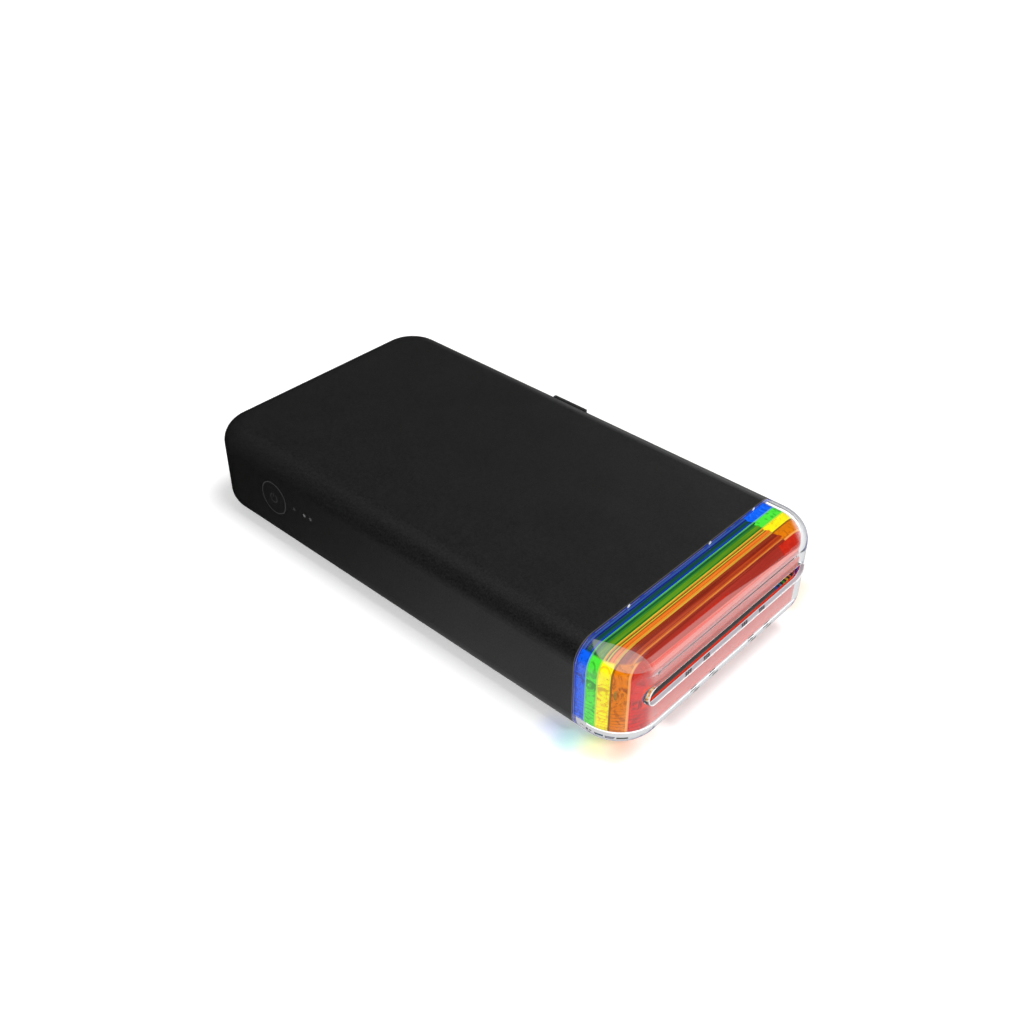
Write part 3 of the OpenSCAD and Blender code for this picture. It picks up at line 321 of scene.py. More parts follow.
def zinc_sheet(name, colour):
    """Folded sheet with the spangle of its zinc coat and fine rolling lines along Y."""
    f = Finish(name)
    spangle = f.cells(2.2)
    rolled = f.noise(0.1, stretch=(1, 0.04, 1))
    tone = f.mix(f.rise(spangle, 0.1, 0.9), shaded(colour, 0.86), shaded(colour, 1.06))
    tone = f.mix(f.rise(rolled, 0.3, 0.7, 0, 0.25), tone, shaded(colour, 0.7))
    gloss = f.rise(spangle, 0.1, 0.9, 0.3, 0.42)
    return f.finish(tone, gloss, metallic=1, normal=f.bump(rolled, 0.004))


def sintered(name, colour):
    """Pressed bronze powder: small dark pores all over."""
    f = Finish(name)
    pores = f.cells(0.16)
    tone = f.mix(f.rise(pores, 0.12, 0.4), shaded(colour, 0.4), colour)
    return f.finish(tone, 0.42, metallic=1, normal=f.bump(pores, 0.01))


def circuit_board(name):
    """Green mask over copper: tracks that turn from patch to patch, and tinned pads."""
    f = Finish(name)
    mask_colour = rgb(12, 74, 44)
    turn = f.rise(f.noise(7, detail=1), 0.48, 0.52)
    along_x = f.within(f.waves(0.9, "Y"), 0.62, 1.1, 0.06)
    along_y = f.within(f.waves(0.9, "X"), 0.62, 1.1, 0.06)
    tracks = f.mix(turn, along_x, along_y)
    busy = f.rise(f.noise(3), 0.42, 0.5)
    tone = f.mix(f.times(tracks, busy), mask_colour, rgb(30, 110, 62))
    pads = f.rise(f.cells(1.9), 0.2, 0.17)
    tone = f.mix(pads, tone, rgb(205, 205, 195))
    gloss = f.rise(f.noise(0.5), 0.3, 0.7, 0.28, 0.4)
    return f.finish(tone, gloss, metallic=pads, normal=f.bump(tracks, 0.03))


def board_parts(name):
    """Black epoxy chips, and cream sockets at both ends of the board."""
    f = Finish(name)
    right_from, left_to, left_back = 12.5, -11, 17.3
    left_socket = f.times(f.past(f.x, left_to, -0.1), f.past(f.y, left_back, -0.1))
    sockets = f.either(f.past(f.x, right_from, 0.1), left_socket)
    fine = f.noise(0.12, detail=3)
    epoxy = f.mix(fine, rgb(32, 32, 34), rgb(52, 52, 54))
    cream = f.mix(fine, rgb(214, 208, 190), rgb(232, 228, 214))
    return f.finish(f.mix(sockets, epoxy, cream), 0.5, normal=f.bump(fine, 0.01))


def foil_pouch(name, low, high):
    """A battery's foil pouch: creased, with amber tape over the end that its leads come from."""
    f = Finish(name)
    tape_to = low.y + 3.15
    creases = f.noise(2.6, detail=3, warp=1.4, stretch=(0.5, 1, 1))
    fine = f.noise(0.2)
    tape = f.past(f.y, tape_to, -0.05)
    tone = f.mix(creases, rgb(120, 124, 130), rgb(168, 171, 176))
    tone = f.mix(tape, tone, f.mix(fine, rgb(178, 112, 18), rgb(204, 138, 34)))
    shine = f.rise(tape, 0, 1, 0.75, 0)
    return f.finish(tone, 0.34, metallic=shine, normal=f.bump(creases, 0.25, strength=0.6))


def three_leads(name, low, high):
    """Black, yellow and red insulation, lead by lead."""
    f = Finish(name)
    width = high.x - low.x
    across = f.line(f.x, 1 / width, -low.x / width)
    leads = [(0, grey(28)), (0.33, rgb(216, 176, 30)), (0.67, rgb(184, 22, 18))]
    tone = f.ramp(across, leads, steps=True)
    drawn = f.noise(0.15, stretch=(1, 0.08, 1))
    tone = f.mix(f.rise(drawn, 0.3, 0.7, 0, 0.2), tone, WHITE, blend="SOFT_LIGHT")
    return f.finish(tone, 0.35, normal=f.bump(drawn, 0.01))


TURNS_PER_MM = 5


def roll_of_film(name, low, high, colour, edge):
    """Wound film: glossy outside, with the edges of its turns showing on both ends."""
    f = Finish(name)
    radius = f.vector("LENGTH", f.away_from((low + high) / 2, (0, 1, 1)))
    turns = f.math("FRACT", f.times(radius, TURNS_PER_MM))
    wavy = f.noise(3, stretch=(0.25, 1, 1))
    at_end = f.either(f.rise(f.x, high.x - 0.1, high.x - 0.05), f.rise(f.x, low.x + 0.1, low.x + 0.05))
    outside = f.mix(wavy, shaded(colour, 0.8), shaded(colour, 1.25))
    ends = f.mix(turns, edge, shaded(edge, 0.4))
    gloss = f.rise(at_end, 0, 1, 0.16, 0.5)
    return f.finish(f.mix(at_end, outside, ends), gloss, normal=f.bump(wavy, 0.05))


DYES_LENGTH = 12


def dye_film(name):
    """The ribbon between the spools: panels of yellow, magenta and cyan dye, one after the other."""
    f = Finish(name)
    dyes = [(0, rgb(196, 160, 24)), (0.33, rgb(164, 28, 104)), (0.66, rgb(20, 104, 158))]
    panels = f.ramp(f.math("FRACT", f.line(f.y, 1 / DYES_LENGTH, 0.3)), dyes, steps=True)
    wrinkles = f.noise(1.6, warp=0.5, stretch=(0.2, 1, 1))
    tone = f.mix(f.rise(wrinkles, 0.3, 0.7, 0, 0.25), panels, WHITE, blend="SOFT_LIGHT")
    return f.finish(tone, 0.14, normal=f.bump(wrinkles, 0.06))


def card_stack(name):
    """Sheets of coated card: fibre on top, and the edges of the sheets on the sides."""
    f = Finish(name)
    sheets = f.waves(0.24, "Z")
    fibre = f.noise(0.25, detail=4)
    tone = f.mix(f.rise(sheets, 0, 0.5), rgb(186, 184, 176), rgb(238, 237, 231))
    tone = f.mix(f.rise(fibre, 0.4, 0.7, 0, 0.06), tone, rgb(200, 196, 186))
    return f.finish(tone, 0.4, normal=f.bump(sheets, 0.03))


def printhead_ceramic(name, low, high):
    """Glazed ceramic: a brown line of heaters along the middle and gold conductors on both sides."""
    f = Finish(name)
    from_middle = f.off(f.y, (low.y + high.y) / 2)
    glaze = f.rise(from_middle, 0.42, 0.36)
    combs = f.times(f.within(from_middle, 0.7, 2.4, 0.05), f.rise(f.waves(0.5, "X"), 0.45, 0.55))
    fine = f.noise(0.2, detail=3)
    tone = f.mix(fine, rgb(206, 198, 180), rgb(226, 220, 206))
    tone = f.mix(combs, tone, rgb(206, 160, 74))
    tone = f.mix(glaze, tone, rgb(72, 42, 26))
    return f.finish(tone, 0.3, metallic=combs, normal=f.bump(combs, 0.02))


def motor_can(name, low, high):
    """A nickel-plated can whose far end is closed by black plastic."""
    f = Finish(name)
    plastic = f.rise(f.x, high.x - 1.3, high.x - 1.2)
    turned = f.noise(0.12, stretch=(1, 0.05, 0.05))
    can = f.mix(turned, rgb(176, 176, 172), rgb(212, 211, 205))
    tone = f.mix(plastic, can, grey(40))
    return f.finish(tone, 0.3, metallic=f.inverse(plastic), normal=f.bump(turned, 0.004))


def usb_shell(name, low, high):
    """A drawn steel shell round a black tongue with gold contacts."""
    f = Finish(name)
    middle, inner = (low.z + high.z) / 2, low.y
    tongue = f.times(f.within(f.z, middle - 0.5, middle + 0.5, 0.02), f.within(f.x, -3.4, 3.4, 0.02),
                     f.rise(f.y, inner + 0.55, inner + 0.65))
    contacts = f.times(tongue, f.rise(f.waves(0.5, "X"), 0.55, 0.6),
                       f.within(f.y, inner + 3.6, inner + 5.8, 0.05))
    drawn = f.noise(0.1, stretch=(1, 0.06, 1))
    steel = f.mix(drawn, grey(150), grey(192))
    tone = f.mix(tongue, steel, grey(30))
    tone = f.mix(contacts, tone, rgb(212, 168, 84))
    shine = f.either(f.minus(1, tongue), contacts)
    return f.finish(tone, 0.3, metallic=shine, normal=f.bump(drawn, 0.004))


def switch_parts(name, low, high):
    """A stamped steel frame with a dark plunger in its middle."""
    f = Finish(name)
    plunger = f.rise(f.x, low.x + 0.62, low.x + 0.58)
    brushed = f.noise(0.1, stretch=(1, 1, 0.08))
    tone = f.mix(plunger, f.mix(brushed, grey(160), grey(200)), grey(36))
    return f.finish(tone, 0.35, metallic=f.inverse(plunger), normal=f.bump(brushed, 0.004))


def light_pipe(name, low, high):
    """Milky rods with smoked outer ends, which hide in the case until they light. The first end, next
    to the button, is the darkest, and the middle one the palest."""
    f = Finish(name)
    outer = f.rise(f.x, low.x + 0.5, low.x + 0.3)
    cloud = f.noise(0.4)
    milk = f.mix(cloud, rgb(205, 208, 210), rgb(232, 234, 236))
    first = f.past(f.y, high.y - 3, 0.1)
    third = f.past(f.y, low.y + 2.3, -0.1)
    smoke = f.mix(cloud, grey(96), grey(122))
    smoke = f.mix(f.either(first, f.times(third, 0.6)), smoke, grey(58))
    return f.finish(f.mix(outer, milk, smoke), 0.25, normal=f.bump(cloud, 0.01))


def led_chip(name, low, high):
    """A white body round a yellow phosphor window."""
    f = Finish(name)
    face = f.rise(f.x, low.x + 0.08, low.x + 0.04)
    window = f.times(face, f.rise(f.off(f.z, (low.z + high.z) / 2), 0.5, 0.46))
    grain = f.noise(0.1)
    tone = f.mix(window, f.mix(grain, grey(226), grey(240)), rgb(238, 206, 84))
    return f.finish(tone, 0.3, normal=f.bump(grain, 0.005))


# ---------- the clear cap and its coloured plates ----------

def clear_shell(name):
    """Polished clear plastic. It bends what is behind it, and casts no shadow."""
    f = Finish(name)
    smudges = f.noise(5, detail=3, warp=1)
    gloss = f.rise(smudges, 0.5, 0.8, 0, 0.03)
    glass = f.surface(base_color=(0.97, 0.98, 1, 1), roughness=gloss, ior=1.49, transmission_weight=1)
    is_shadow = f.node("LightPath", output="Is Shadow Ray")
    return f.done(f.mix_shaders(is_shadow, glass, f.node("BsdfTransparent")))


# Painted bands on top of the stack, from the seam to the front, for the shade of the dark chute below
# and the glints of the plate edges: where each starts at its back, and its colour.
TOP_BANDS = [
    (-58.45, 26, 34, 84), (-58.75, 128, 122, 200), (-59.15, 52, 92, 160), (-60.15, 24, 36, 136),
    (-60.6, 20, 78, 70), (-61.7, 16, 56, 184), (-62.15, 92, 186, 106), (-62.55, 28, 96, 46),
    (-63.15, 44, 134, 48), (-63.6, 98, 152, 26), (-64.7, 26, 130, 38), (-65.15, 226, 206, 58),
    (-65.4, 220, 142, 46), (-65.7, 90, 84, 32), (-65.95, 212, 196, 52), (-66.25, 162, 90, 32),
    (-66.55, 238, 130, 36), (-67.15, 196, 104, 30), (-67.3, 240, 132, 38), (-67.6, 216, 170, 54),
    (-68.1, 160, 56, 24), (-68.5, 144, 48, 22), (-68.95, 150, 42, 22), (-69.45, 182, 66, 22),
    (-69.95, 150, 46, 22), (-70.05, 190, 76, 24), (-70.35, 212, 130, 52), (-70.65, 152, 50, 34)]


def stripes(f, low_y, high_y):
    """The part of the painted top bands that falls on a plate."""
    depth = high_y - low_y
    fronts = [band[0] for band in TOP_BANDS[1:]] + [FRONT_Y]
    stops = []
    for (back, *colour), front in reversed(list(zip(TOP_BANDS, fronts))):
        if back > low_y:
            stops.append((min((front - low_y) / depth, 0.999) if stops else 0, rgb(*colour)))
        if back >= high_y:
            break
    streaks = f.noise(0.5, stretch=(0.04, 1.6, 1.6))
    bands = f.ramp(f.line(f.y, 1 / depth, -low_y / depth), stops, steps=True)
    return f.mix(f.rise(streaks, 0.3, 0.7, 0, 0.4), bands, BLACK, blend="SOFT_LIGHT")


def painted_refraction(f, vivid, deep, pale, dark_height=18.5):
    """Painted light and shade of a plate that light comes through: swirls of three tones for the
    refracted light, thin dark lines between them in the upper half, a painted dark blot at dark_height,
    and fine painted ripples of shade in the lower half."""
    swirl = f.noise(2.4, warp=2.4, stretch=(1, 0.8, 0.6))
    tone = f.mix(f.rise(swirl, 0.52, 0.64, 0, 0.5), vivid, deep)
    tone = f.mix(f.rise(swirl, 0.38, 0.3, 0, 0.45), tone, pale)
    contour = f.within(f.math("FRACT", f.times(swirl, 11)), 0.45, 0.53, 0.03)
    upper = f.within(f.z, 13, 22.5, 1.5)
    where = f.times(f.rise(f.noise(3, detail=1), 0.46, 0.52), upper)
    tone = f.mix(f.times(contour, where), tone, shaded(deep, 0.35))
    shade_blot = f.times(f.within(f.z, dark_height - 1.2, dark_height + 1.2, 0.7), f.rise(swirl, 0.45, 0.5))
    tone = f.mix(f.times(shade_blot, 0.6), tone, shaded(deep, 0.7))
    ripple = f.within(f.waves(1, "Z", warp=6, warp_size=1.8), 0.88, 1.1, 0.06)
    low_down = f.rise(f.z, 14, 11, 0, 0.5)
    return f.mix(f.times(ripple, low_down), tone, shaded(deep, 0.8))


CHUTE_SHOWS_TO_X = 25.3
CHUTE_SHOWS_TO_X_IN_RED = 22.6


def over_chute(f, shows_to=CHUTE_SHOWS_TO_X):
    """1 on top of the stack, where the dark chute below shows through as painted bands, as far
    right as shows_to.
    """
    ripple_start = f.line(f.noise(1.2), 3, shows_to - 1.5)
    not_right = f.past(f.x, ripple_start, -0.1)
    above_left, above_right = f.rise(f.z, 24.5, 24.9), f.rise(f.z, 22.3, 23)
    return f.times(not_right, f.mix_value(f.rise(f.x, 0, 1), above_left, above_right))


# The pale colour of the painted reflections on the cap.
REFLECTION_TONE = rgb(205, 205, 200)


def corner_reflection(f):
    """1 in a pale patch of painted reflection at the front corner, where the top turns down to the left
    side.
    """
    upper = f.rise(f.line(f.y, 0.327, f.x), -53.3, -53.5)
    lower = f.rise(f.line(f.y, -0.24, f.z), 40.1, 40.3)
    return f.times(upper, lower)


def lit_within(f, tone):
    """Polished translucent plastic. Its glow stands for the light that runs along inside it."""
    return f.finish(tone, 0.2, specular_ior_level=0.08, emission_color=tone, emission_strength=0.34)


def plate(name, low, high, vivid, deep, pale, edge):
    """A plate of the stack: sides of painted refracted light, a line along its edge to the plate before it,
    pale as a painted highlight on all but the yellow plate, and painted bands on top.
    """
    f = Finish(name)
    side = painted_refraction(f, vivid, deep, pale)
    side = f.mix(f.rise(f.y, low.y + 0.32, low.y + 0.24), side, edge)
    if name == "orange_plate":
        # Painted shade and amber light of the slot's end, seen through the plate.
        dark = f.mix(f.noise(0.9, warp=2), rgb(60, 44, 24), rgb(196, 150, 40))
        side = f.mix(leaf(f), side, dark)
    tone = f.mix(over_chute(f), side, stripes(f, low.y, high.y))
    # The pale patch at the front corner is a painted reflection.
    return lit_within(f, f.mix(f.times(corner_reflection(f), 0.26), tone, REFLECTION_TONE))


def leaf(f):
    """1 in a leaf on the left side at the height of the slot, where the slot's end shows through in painted
    shade and light.
    """
    middle_y, middle_z, lean, half_width, half_length = -69.4, 17.02, 0.7, 1 / 1.3, 1 / 0.55
    across = f.math("DIVIDE", f.minus(f.y, middle_y), half_width)
    straight = f.line(f.y, -lean, f.z)
    along = f.math("DIVIDE", f.minus(straight, middle_z - lean * middle_y), half_length)
    out = f.math("ADD", f.times(across, across), f.times(along, along))
    return f.times(f.rise(out, 1, 0.8), f.rise(f.x, -36, -36.1))


def red_plate(name):
    """The front plate: a dark red top painted with the shade of the chute below, bright red ends of
    painted refracted light, a pink face painted with the reflection of the floor, and a clean edge in the
    slot.
    """
    f = Finish(name)
    streaks = f.noise(0.8, detail=3, warp=0.3, stretch=(0.03, 1, 1.6))
    top = f.mix(streaks, rgb(140, 34, 24), rgb(172, 54, 40))
    tone = f.mix(over_chute(f, CHUTE_SHOWS_TO_X_IN_RED), red_ends(f), top)
    between_ends = f.times(f.rise(f.x, -31, -28.6), f.rise(f.x, 36, 35.6))
    bend = f.line(f.x, -0.059, 24.37)
    top_edge = f.math("MINIMUM", f.line(f.x, -0.01, 24.4), bend)
    facing = f.times(f.past(f.z, top_edge, -0.1), between_ends)
    tone = f.mix(facing, tone, red_face(f, bend, streaks))
    # Painted reflection at the front corner, left of the face.
    reflection_share = f.times(corner_reflection(f), f.rise(f.x, -27.5, -28))
    tone = f.mix(f.times(reflection_share, 0.2), tone, REFLECTION_TONE)
    in_slot = f.times(f.rise(f.math("ABSOLUTE", f.x), SLOT_HALF_W + 0.05, SLOT_HALF_W - 0.05),
                      f.within(f.z, SLOT_Z - 3, SLOT_Z + 3, 0.02), f.rise(f.y, -73.29, -73.27))
    return lit_within(f, f.mix(in_slot, tone, rgb(226, 44, 0)))


def red_ends(f):
    """Both ends of the red plate, painted with refracted light, with darker swirls towards the top."""
    side = painted_refraction(f, rgb(206, 20, 4), rgb(126, 16, 8), rgb(232, 50, 24), dark_height=14)
    swirls = f.mix(f.noise(1.4, warp=2), rgb(110, 20, 12), rgb(214, 58, 30))
    return f.mix(f.rise(f.z, 20, 23, 0, 0.6), side, swirls)


# The painted reflection on the red face: heights, as shares of the height on the next line, and colours.
FACE_REFLECTION_TOP = 26
FACE_REFLECTION = [(0.1, rgb(228, 128, 120)), (0.3, rgb(218, 123, 114)), (0.46, rgb(219, 104, 98)),
        (0.66, rgb(208, 96, 86)), (0.74, rgb(196, 86, 74)), (0.8, rgb(190, 76, 66)),
        (0.84, rgb(186, 70, 62))]


def red_face(f, bend, streaks):
    """The face of the red plate, painted pink with the reflection of the floor and its streaks. Up to the
    slanted line bend the painted reflection turns bright, then dusky.
    """
    fine = f.noise(0.35, stretch=(0.02, 1, 1.6))
    face = f.mix(f.rise(streaks, 0.54, 0.66, 0, 0.45), f.ramp(f.math("DIVIDE", f.z, FACE_REFLECTION_TOP), FACE_REFLECTION),
                 rgb(228, 84, 72))
    face = f.mix(f.rise(fine, 0.6, 0.7, 0, 0.4), face, rgb(232, 140, 130))
    face = f.mix(f.rise(f.z, 21.9, 22.2), face, rgb(222, 134, 124))
    streak_top = f.rise(f.x, 8, -25, 23.25, 23.8)
    below_top = f.rise(f.minus(streak_top, f.z), 0, 0.1)
    face = f.mix(f.times(f.rise(f.z, 23, 23.1), below_top), face, rgb(226, 108, 97))
    dusky_from = f.math("MINIMUM", f.line(f.x, -0.01, 23.6), bend)
    return f.mix(f.past(f.z, dusky_from, 0.08), face, rgb(188, 109, 103))


def back_plate(name):
    """Black plate that closes the case behind the stack."""
    f = Finish(name)
    fine = f.noise(0.3)
    return f.finish(f.mix(fine, grey(18), grey(28)), 0.4, normal=f.bump(fine, 0.006))


# The painted reflections at the right end of the chute: where they start, how wide each glint is, and their
# colours.
GLINTS_FROM_X, GLINT_W = 22.4, 0.75
CHUTE_GLINTS = [rgb(60, 84, 190), grey(46), rgb(40, 130, 170), grey(40), rgb(70, 160, 60), grey(44),
                rgb(200, 170, 50), grey(40), rgb(216, 110, 30), grey(44), rgb(200, 50, 24), grey(40)]


def paper_chute(name):
    """Dark grey chute. At its right end it is painted with reflections of the edges of the coloured plates.
    """
    f = Finish(name)
    fine = f.noise(0.2, detail=3)
    plain = f.mix(fine, grey(86), grey(104))
    count = len(CHUTE_GLINTS)
    share = f.line(f.x, 1 / (GLINT_W * count), -GLINTS_FROM_X / (GLINT_W * count))
    stops = [(i / count, colour) for i, colour in enumerate(CHUTE_GLINTS)]
    glints = f.ramp(share, stops, steps=True)
    patchy = f.rise(f.noise(0.5, detail=1), 0.36, 0.42)
    tone = f.mix(f.times(f.rise(f.x, GLINTS_FROM_X - 0.1, GLINTS_FROM_X), patchy), plain, glints)
    return f.finish(tone, 0.45, specular_ior_level=0.3, normal=f.bump(fine, 0.01))


# ---------- the power button ----------

GLYPH_R = 1.35
GLYPH_HALF_W = 0.13
GLYPH_HALF_GAP = 0.55


def power_button(name, low, high):
    """Black on black, with the generic power sign printed in grey, and a grey ring at its edge."""
    f = Finish(name)
    flat = f.away_from((low + high) / 2, (0, 1, 1))
    out = f.vector("LENGTH", flat)
    edge = f.within(out, BUTTON_R - 0.28, BUTTON_R + 0.5, 0.05)
    grey_part = f.either(power_sign(f, flat, out), edge)
    fine = f.noise(0.35, detail=3)
    tone = f.mix(f.rise(grey_part, 0, 1, 0, 0.8), grainy_black(f, fine), grey(70))
    return f.finish(tone, 0.5, normal=f.bump(fine, 0.012))


def power_sign(f, flat, out):
    """1 in a ring with a gap at its top and a bar through it. flat is the place from the button's
    middle, and out the length of that."""
    side, up = f.split(flat)[1:]
    sideways = f.math("ABSOLUTE", side)
    gap = f.times(f.rise(sideways, GLYPH_HALF_GAP + 0.1, GLYPH_HALF_GAP), f.rise(up, 0, 0.1))
    ring = f.times(f.within(out, GLYPH_R - GLYPH_HALF_W, GLYPH_R + GLYPH_HALF_W, 0.04), f.minus(1, gap))
    bar = f.times(f.rise(sideways, GLYPH_HALF_W + 0.04, GLYPH_HALF_W - 0.04),
                  f.within(up, GLYPH_R * 0.3, GLYPH_R * 1.15, 0.04))
    return f.either(ring, bar)


# ---------- which finish each slot has ----------

ALONG_X = (0.05, 1, 1)
ALONG_Y = (1, 0.05, 1)
ROUND_X = (1, 0.05, 0.05)


def anywhere(finish, *looks, **more):
    """A finish that doesn't depend on where its node lies."""
    return lambda name, low, high: finish(name, *looks, **more)


def placed(finish, *looks):
    """A finish that does depend on it."""
    return lambda name, low, high: finish(name, low, high, *looks)


FINISHES = {
    "case_black": anywhere(case_black),
    "cover_black": anywhere(moulded, grey(24), 0.6, 0.25, grain=0.5, depth=0.02),
    "button_black": anywhere(moulded, grey(26), 0.5, 0.5, speckle=0.6),
    "latch_black": anywhere(moulded, grey(44), 0.55, 0.3, grain=0.25),
    "foot_rubber": anywhere(rubber, grey(30)),
    "clear_acrylic": anywhere(clear_shell),
    "red_acrylic": anywhere(red_plate),
    "orange_acrylic": placed(plate, rgb(219, 120, 0), rgb(156, 66, 6), rgb(240, 150, 16), rgb(232, 160, 80)),
    "yellow_acrylic": placed(plate, rgb(250, 238, 20), rgb(220, 140, 24), rgb(255, 246, 60),
                             rgb(140, 96, 24)),
    "green_acrylic": placed(plate, rgb(77, 230, 59), rgb(30, 128, 30), rgb(100, 248, 70), rgb(180, 222, 70)),
    "blue_acrylic": placed(plate, rgb(6, 99, 240), rgb(0, 40, 150), rgb(60, 140, 250), rgb(110, 175, 205)),
    "chute_grey": anywhere(paper_chute),
    "light_pipe": light_pipe,
    "led": led_chip,
    "circuit_board": anywhere(circuit_board),
    "chip_black": anywhere(board_parts),
    "switch_metal": switch_parts,
    "spring_steel": anywhere(spring_wire),
    "shaft_steel": anywhere(metal, grey(200), 0.2, grain=ROUND_X, tarnish=0.05),
    "screw_steel": anywhere(metal, grey(84), 0.4, size=0.1),
    "chassis_steel": anywhere(zinc_sheet, grey(186)),
    "bush_bronze": anywhere(sintered, rgb(186, 148, 86)),
    "battery_wrap": foil_pouch,
    "lead_red": three_leads,
    "socket_steel": usb_shell,
    "sink_aluminium": anywhere(metal, grey(206), 0.32, grain=ALONG_Y, tarnish=0.05),
    "head_ceramic": printhead_ceramic,
    "platen_rubber": anywhere(rubber, grey(38), grain=ROUND_X),
    "pinch_rubber": anywhere(rubber, grey(104), grain=ROUND_X),
    "gear_acetal": anywhere(moulded, rgb(222, 221, 212), 0.4, 0.5, grain=0.6, speckle=0.03),
    "pinion_brass": anywhere(metal, rgb(208, 172, 98), 0.24, grain=ALONG_X),
    "motor_can": motor_can,
    "cartridge_grey": anywhere(moulded, grey(62), 0.45, 0.4, grain=0.4),
    "spool_white": anywhere(moulded, rgb(224, 224, 220), 0.35, 0.5, grain=0.6, speckle=0.03),
    "ribbon_magenta": placed(roll_of_film, rgb(150, 30, 92), rgb(206, 120, 170)),
    "ribbon_blue": placed(roll_of_film, rgb(38, 74, 150), rgb(140, 160, 210)),
    "photo_paper": anywhere(card_stack),
}
# Nodes that don't look like the rest of their slot.
NODE_FINISHES = {
    "cap_backplate": anywhere(back_plate),
    "ribbon_film": anywhere(dye_film),
    "power_button": power_button,
}


def dress_nodes():
    for name, node in sorted(frame["nodes"].items()):
        finish = NODE_FINISHES.get(name) or FINISHES[SLOT_OF[name]]
        material = finish(name, *millimetres(name))
        for slot in node.material_slots:
            slot.material = material


# ---------- floor, light and background ----------

FLOOR_HALF = 3  # metres
FLOOR_WHITE = (0.97, 0.97, 0.97, 1)
FLOOR_GLOW = 0.33
AMBIENT = 0.24
# What the object mirrors: a dark studio with two softboxes, and the floor, which is dark towards the back.
DARK_STUDIO = 0.04
OVERHEAD_SHINE = 0.48
RIGHT_SHINE = 1.44
FRONT_SHINE = 0.9
MIRRORED_FRONT_Y, MIRRORED_BACK_Y = -90, 90
CORNER_DIMMED = 0.6


class RayKinds:
    """What a ray has met on its way. mirrored is 1 where it was mirrored and never scattered, and
    straight is 1 where it has met nothing but glass since the camera."""

    def __init__(self, f):
        path = f.node("LightPath", output=None)
        scattered = f.math("MINIMUM", path["Diffuse Depth"], 1)
        straight = f.either(path["Is Camera Ray"], path["Is Transmission Ray"])
        self.mirrored = f.times(f.math("MINIMUM", path["Glossy Depth"], 1), f.minus(1, scattered))
        straight = f.minus(f.minus(straight, scattered), self.mirrored)
        self.straight = f.math("MAXIMUM", straight, 0)


# Painted light that falls through the cap, and a painted shadow in front of it: the ends of the line
# where each lands, how far it spreads, its colour.
FLOOR_TINTS = [
    ((-40.5, -55), (-41.5, -57.5), 6, (0.74, 0.80, 0.97, 1)),
    ((-39.5, -60), (-42, -61), 6, (0.66, 0.90, 0.80, 1)),
    ((-37.5, -65), (-40, -66), 5.5, (0.93, 0.94, 0.60, 1)),
    ((-34, -69.5), (-37.5, -70.5), 6, (0.94, 0.71, 0.58, 1)),
    ((-27, -73), (-34, -72.5), 5, (0.95, 0.80, 0.76, 1)),
    # Painted shadow along the front of the cap.
    ((-20, -72.8), (23, -72.8), 5.5, (0.60, 0.56, 0.56, 1)),
    ((34, -72), (42, -70), 6, (0.97, 0.76, 0.68, 1)),
    ((46, -64), (52, -62), 9, (0.98, 0.88, 0.83, 1))]


def away_from_line(f, start, end):
    """How far a place on the floor is from the line between two points."""
    start, end = Vector(start).to_3d(), Vector(end).to_3d()
    run = end - start
    from_start = f.vector("SUBTRACT", f.place, start)
    share = f.vector("DOT_PRODUCT", from_start, run / run.length_squared)
    held = f.math("MINIMUM", f.math("MAXIMUM", share, 0), 1)
    nearest = f.vector("SCALE", run, scale=held)
    return f.vector("LENGTH", f.vector("SUBTRACT", from_start, nearest))


def floor_lit(f, strength):
    """The floor as it is looked at: white, with painted coloured light and a painted shadow round the cap,
    and a glow of its own where strength is above 0."""
    tint = WHITE
    for start, end, spread, colour in FLOOR_TINTS:
        spot = f.rise(away_from_line(f, start, end), spread, 0)
        tint = f.mix(spot, tint, colour, blend="MULTIPLY")
    diffuse = f.node("BsdfDiffuse", {"Color": f.mix(1, tint, FLOOR_WHITE, blend="MULTIPLY")})
    glow = f.node("Emission", {"Color": tint, "Strength": strength})
    return f.node("AddShader", {0: diffuse, 1: glow})


def floor_mirrored(f):
    """The floor as the object mirrors it: bright in front, dark behind, dim at the left front corner."""
    nearness = f.rise(f.y, MIRRORED_BACK_Y, MIRRORED_FRONT_Y, interpolation="LINEAR")
    corner = f.times(f.rise(f.x, -40, -46), f.rise(f.y, -62, -76))
    shine = f.times(f.math("POWER", nearness, 2), FRONT_SHINE, f.line(corner, -CORNER_DIMMED, 1))
    return f.node("Emission", {"Strength": shine})


def add_floor():
    mesh = bpy.data.meshes.new("floor")
    corners = [(x * FLOOR_HALF, y * FLOOR_HALF, 0) for x, y in ((-1, -1), (1, -1), (1, 1), (-1, 1))]
    mesh.from_pydata(corners, [], [(0, 1, 2, 3)])
    floor = add_object("floor", mesh)
    f = Finish("floor")
    rays = RayKinds(f)
    lit = floor_lit(f, f.times(rays.straight, FLOOR_GLOW))
    mesh.materials.append(f.done(f.mix_shaders(rays.mirrored, lit, floor_mirrored(f))))


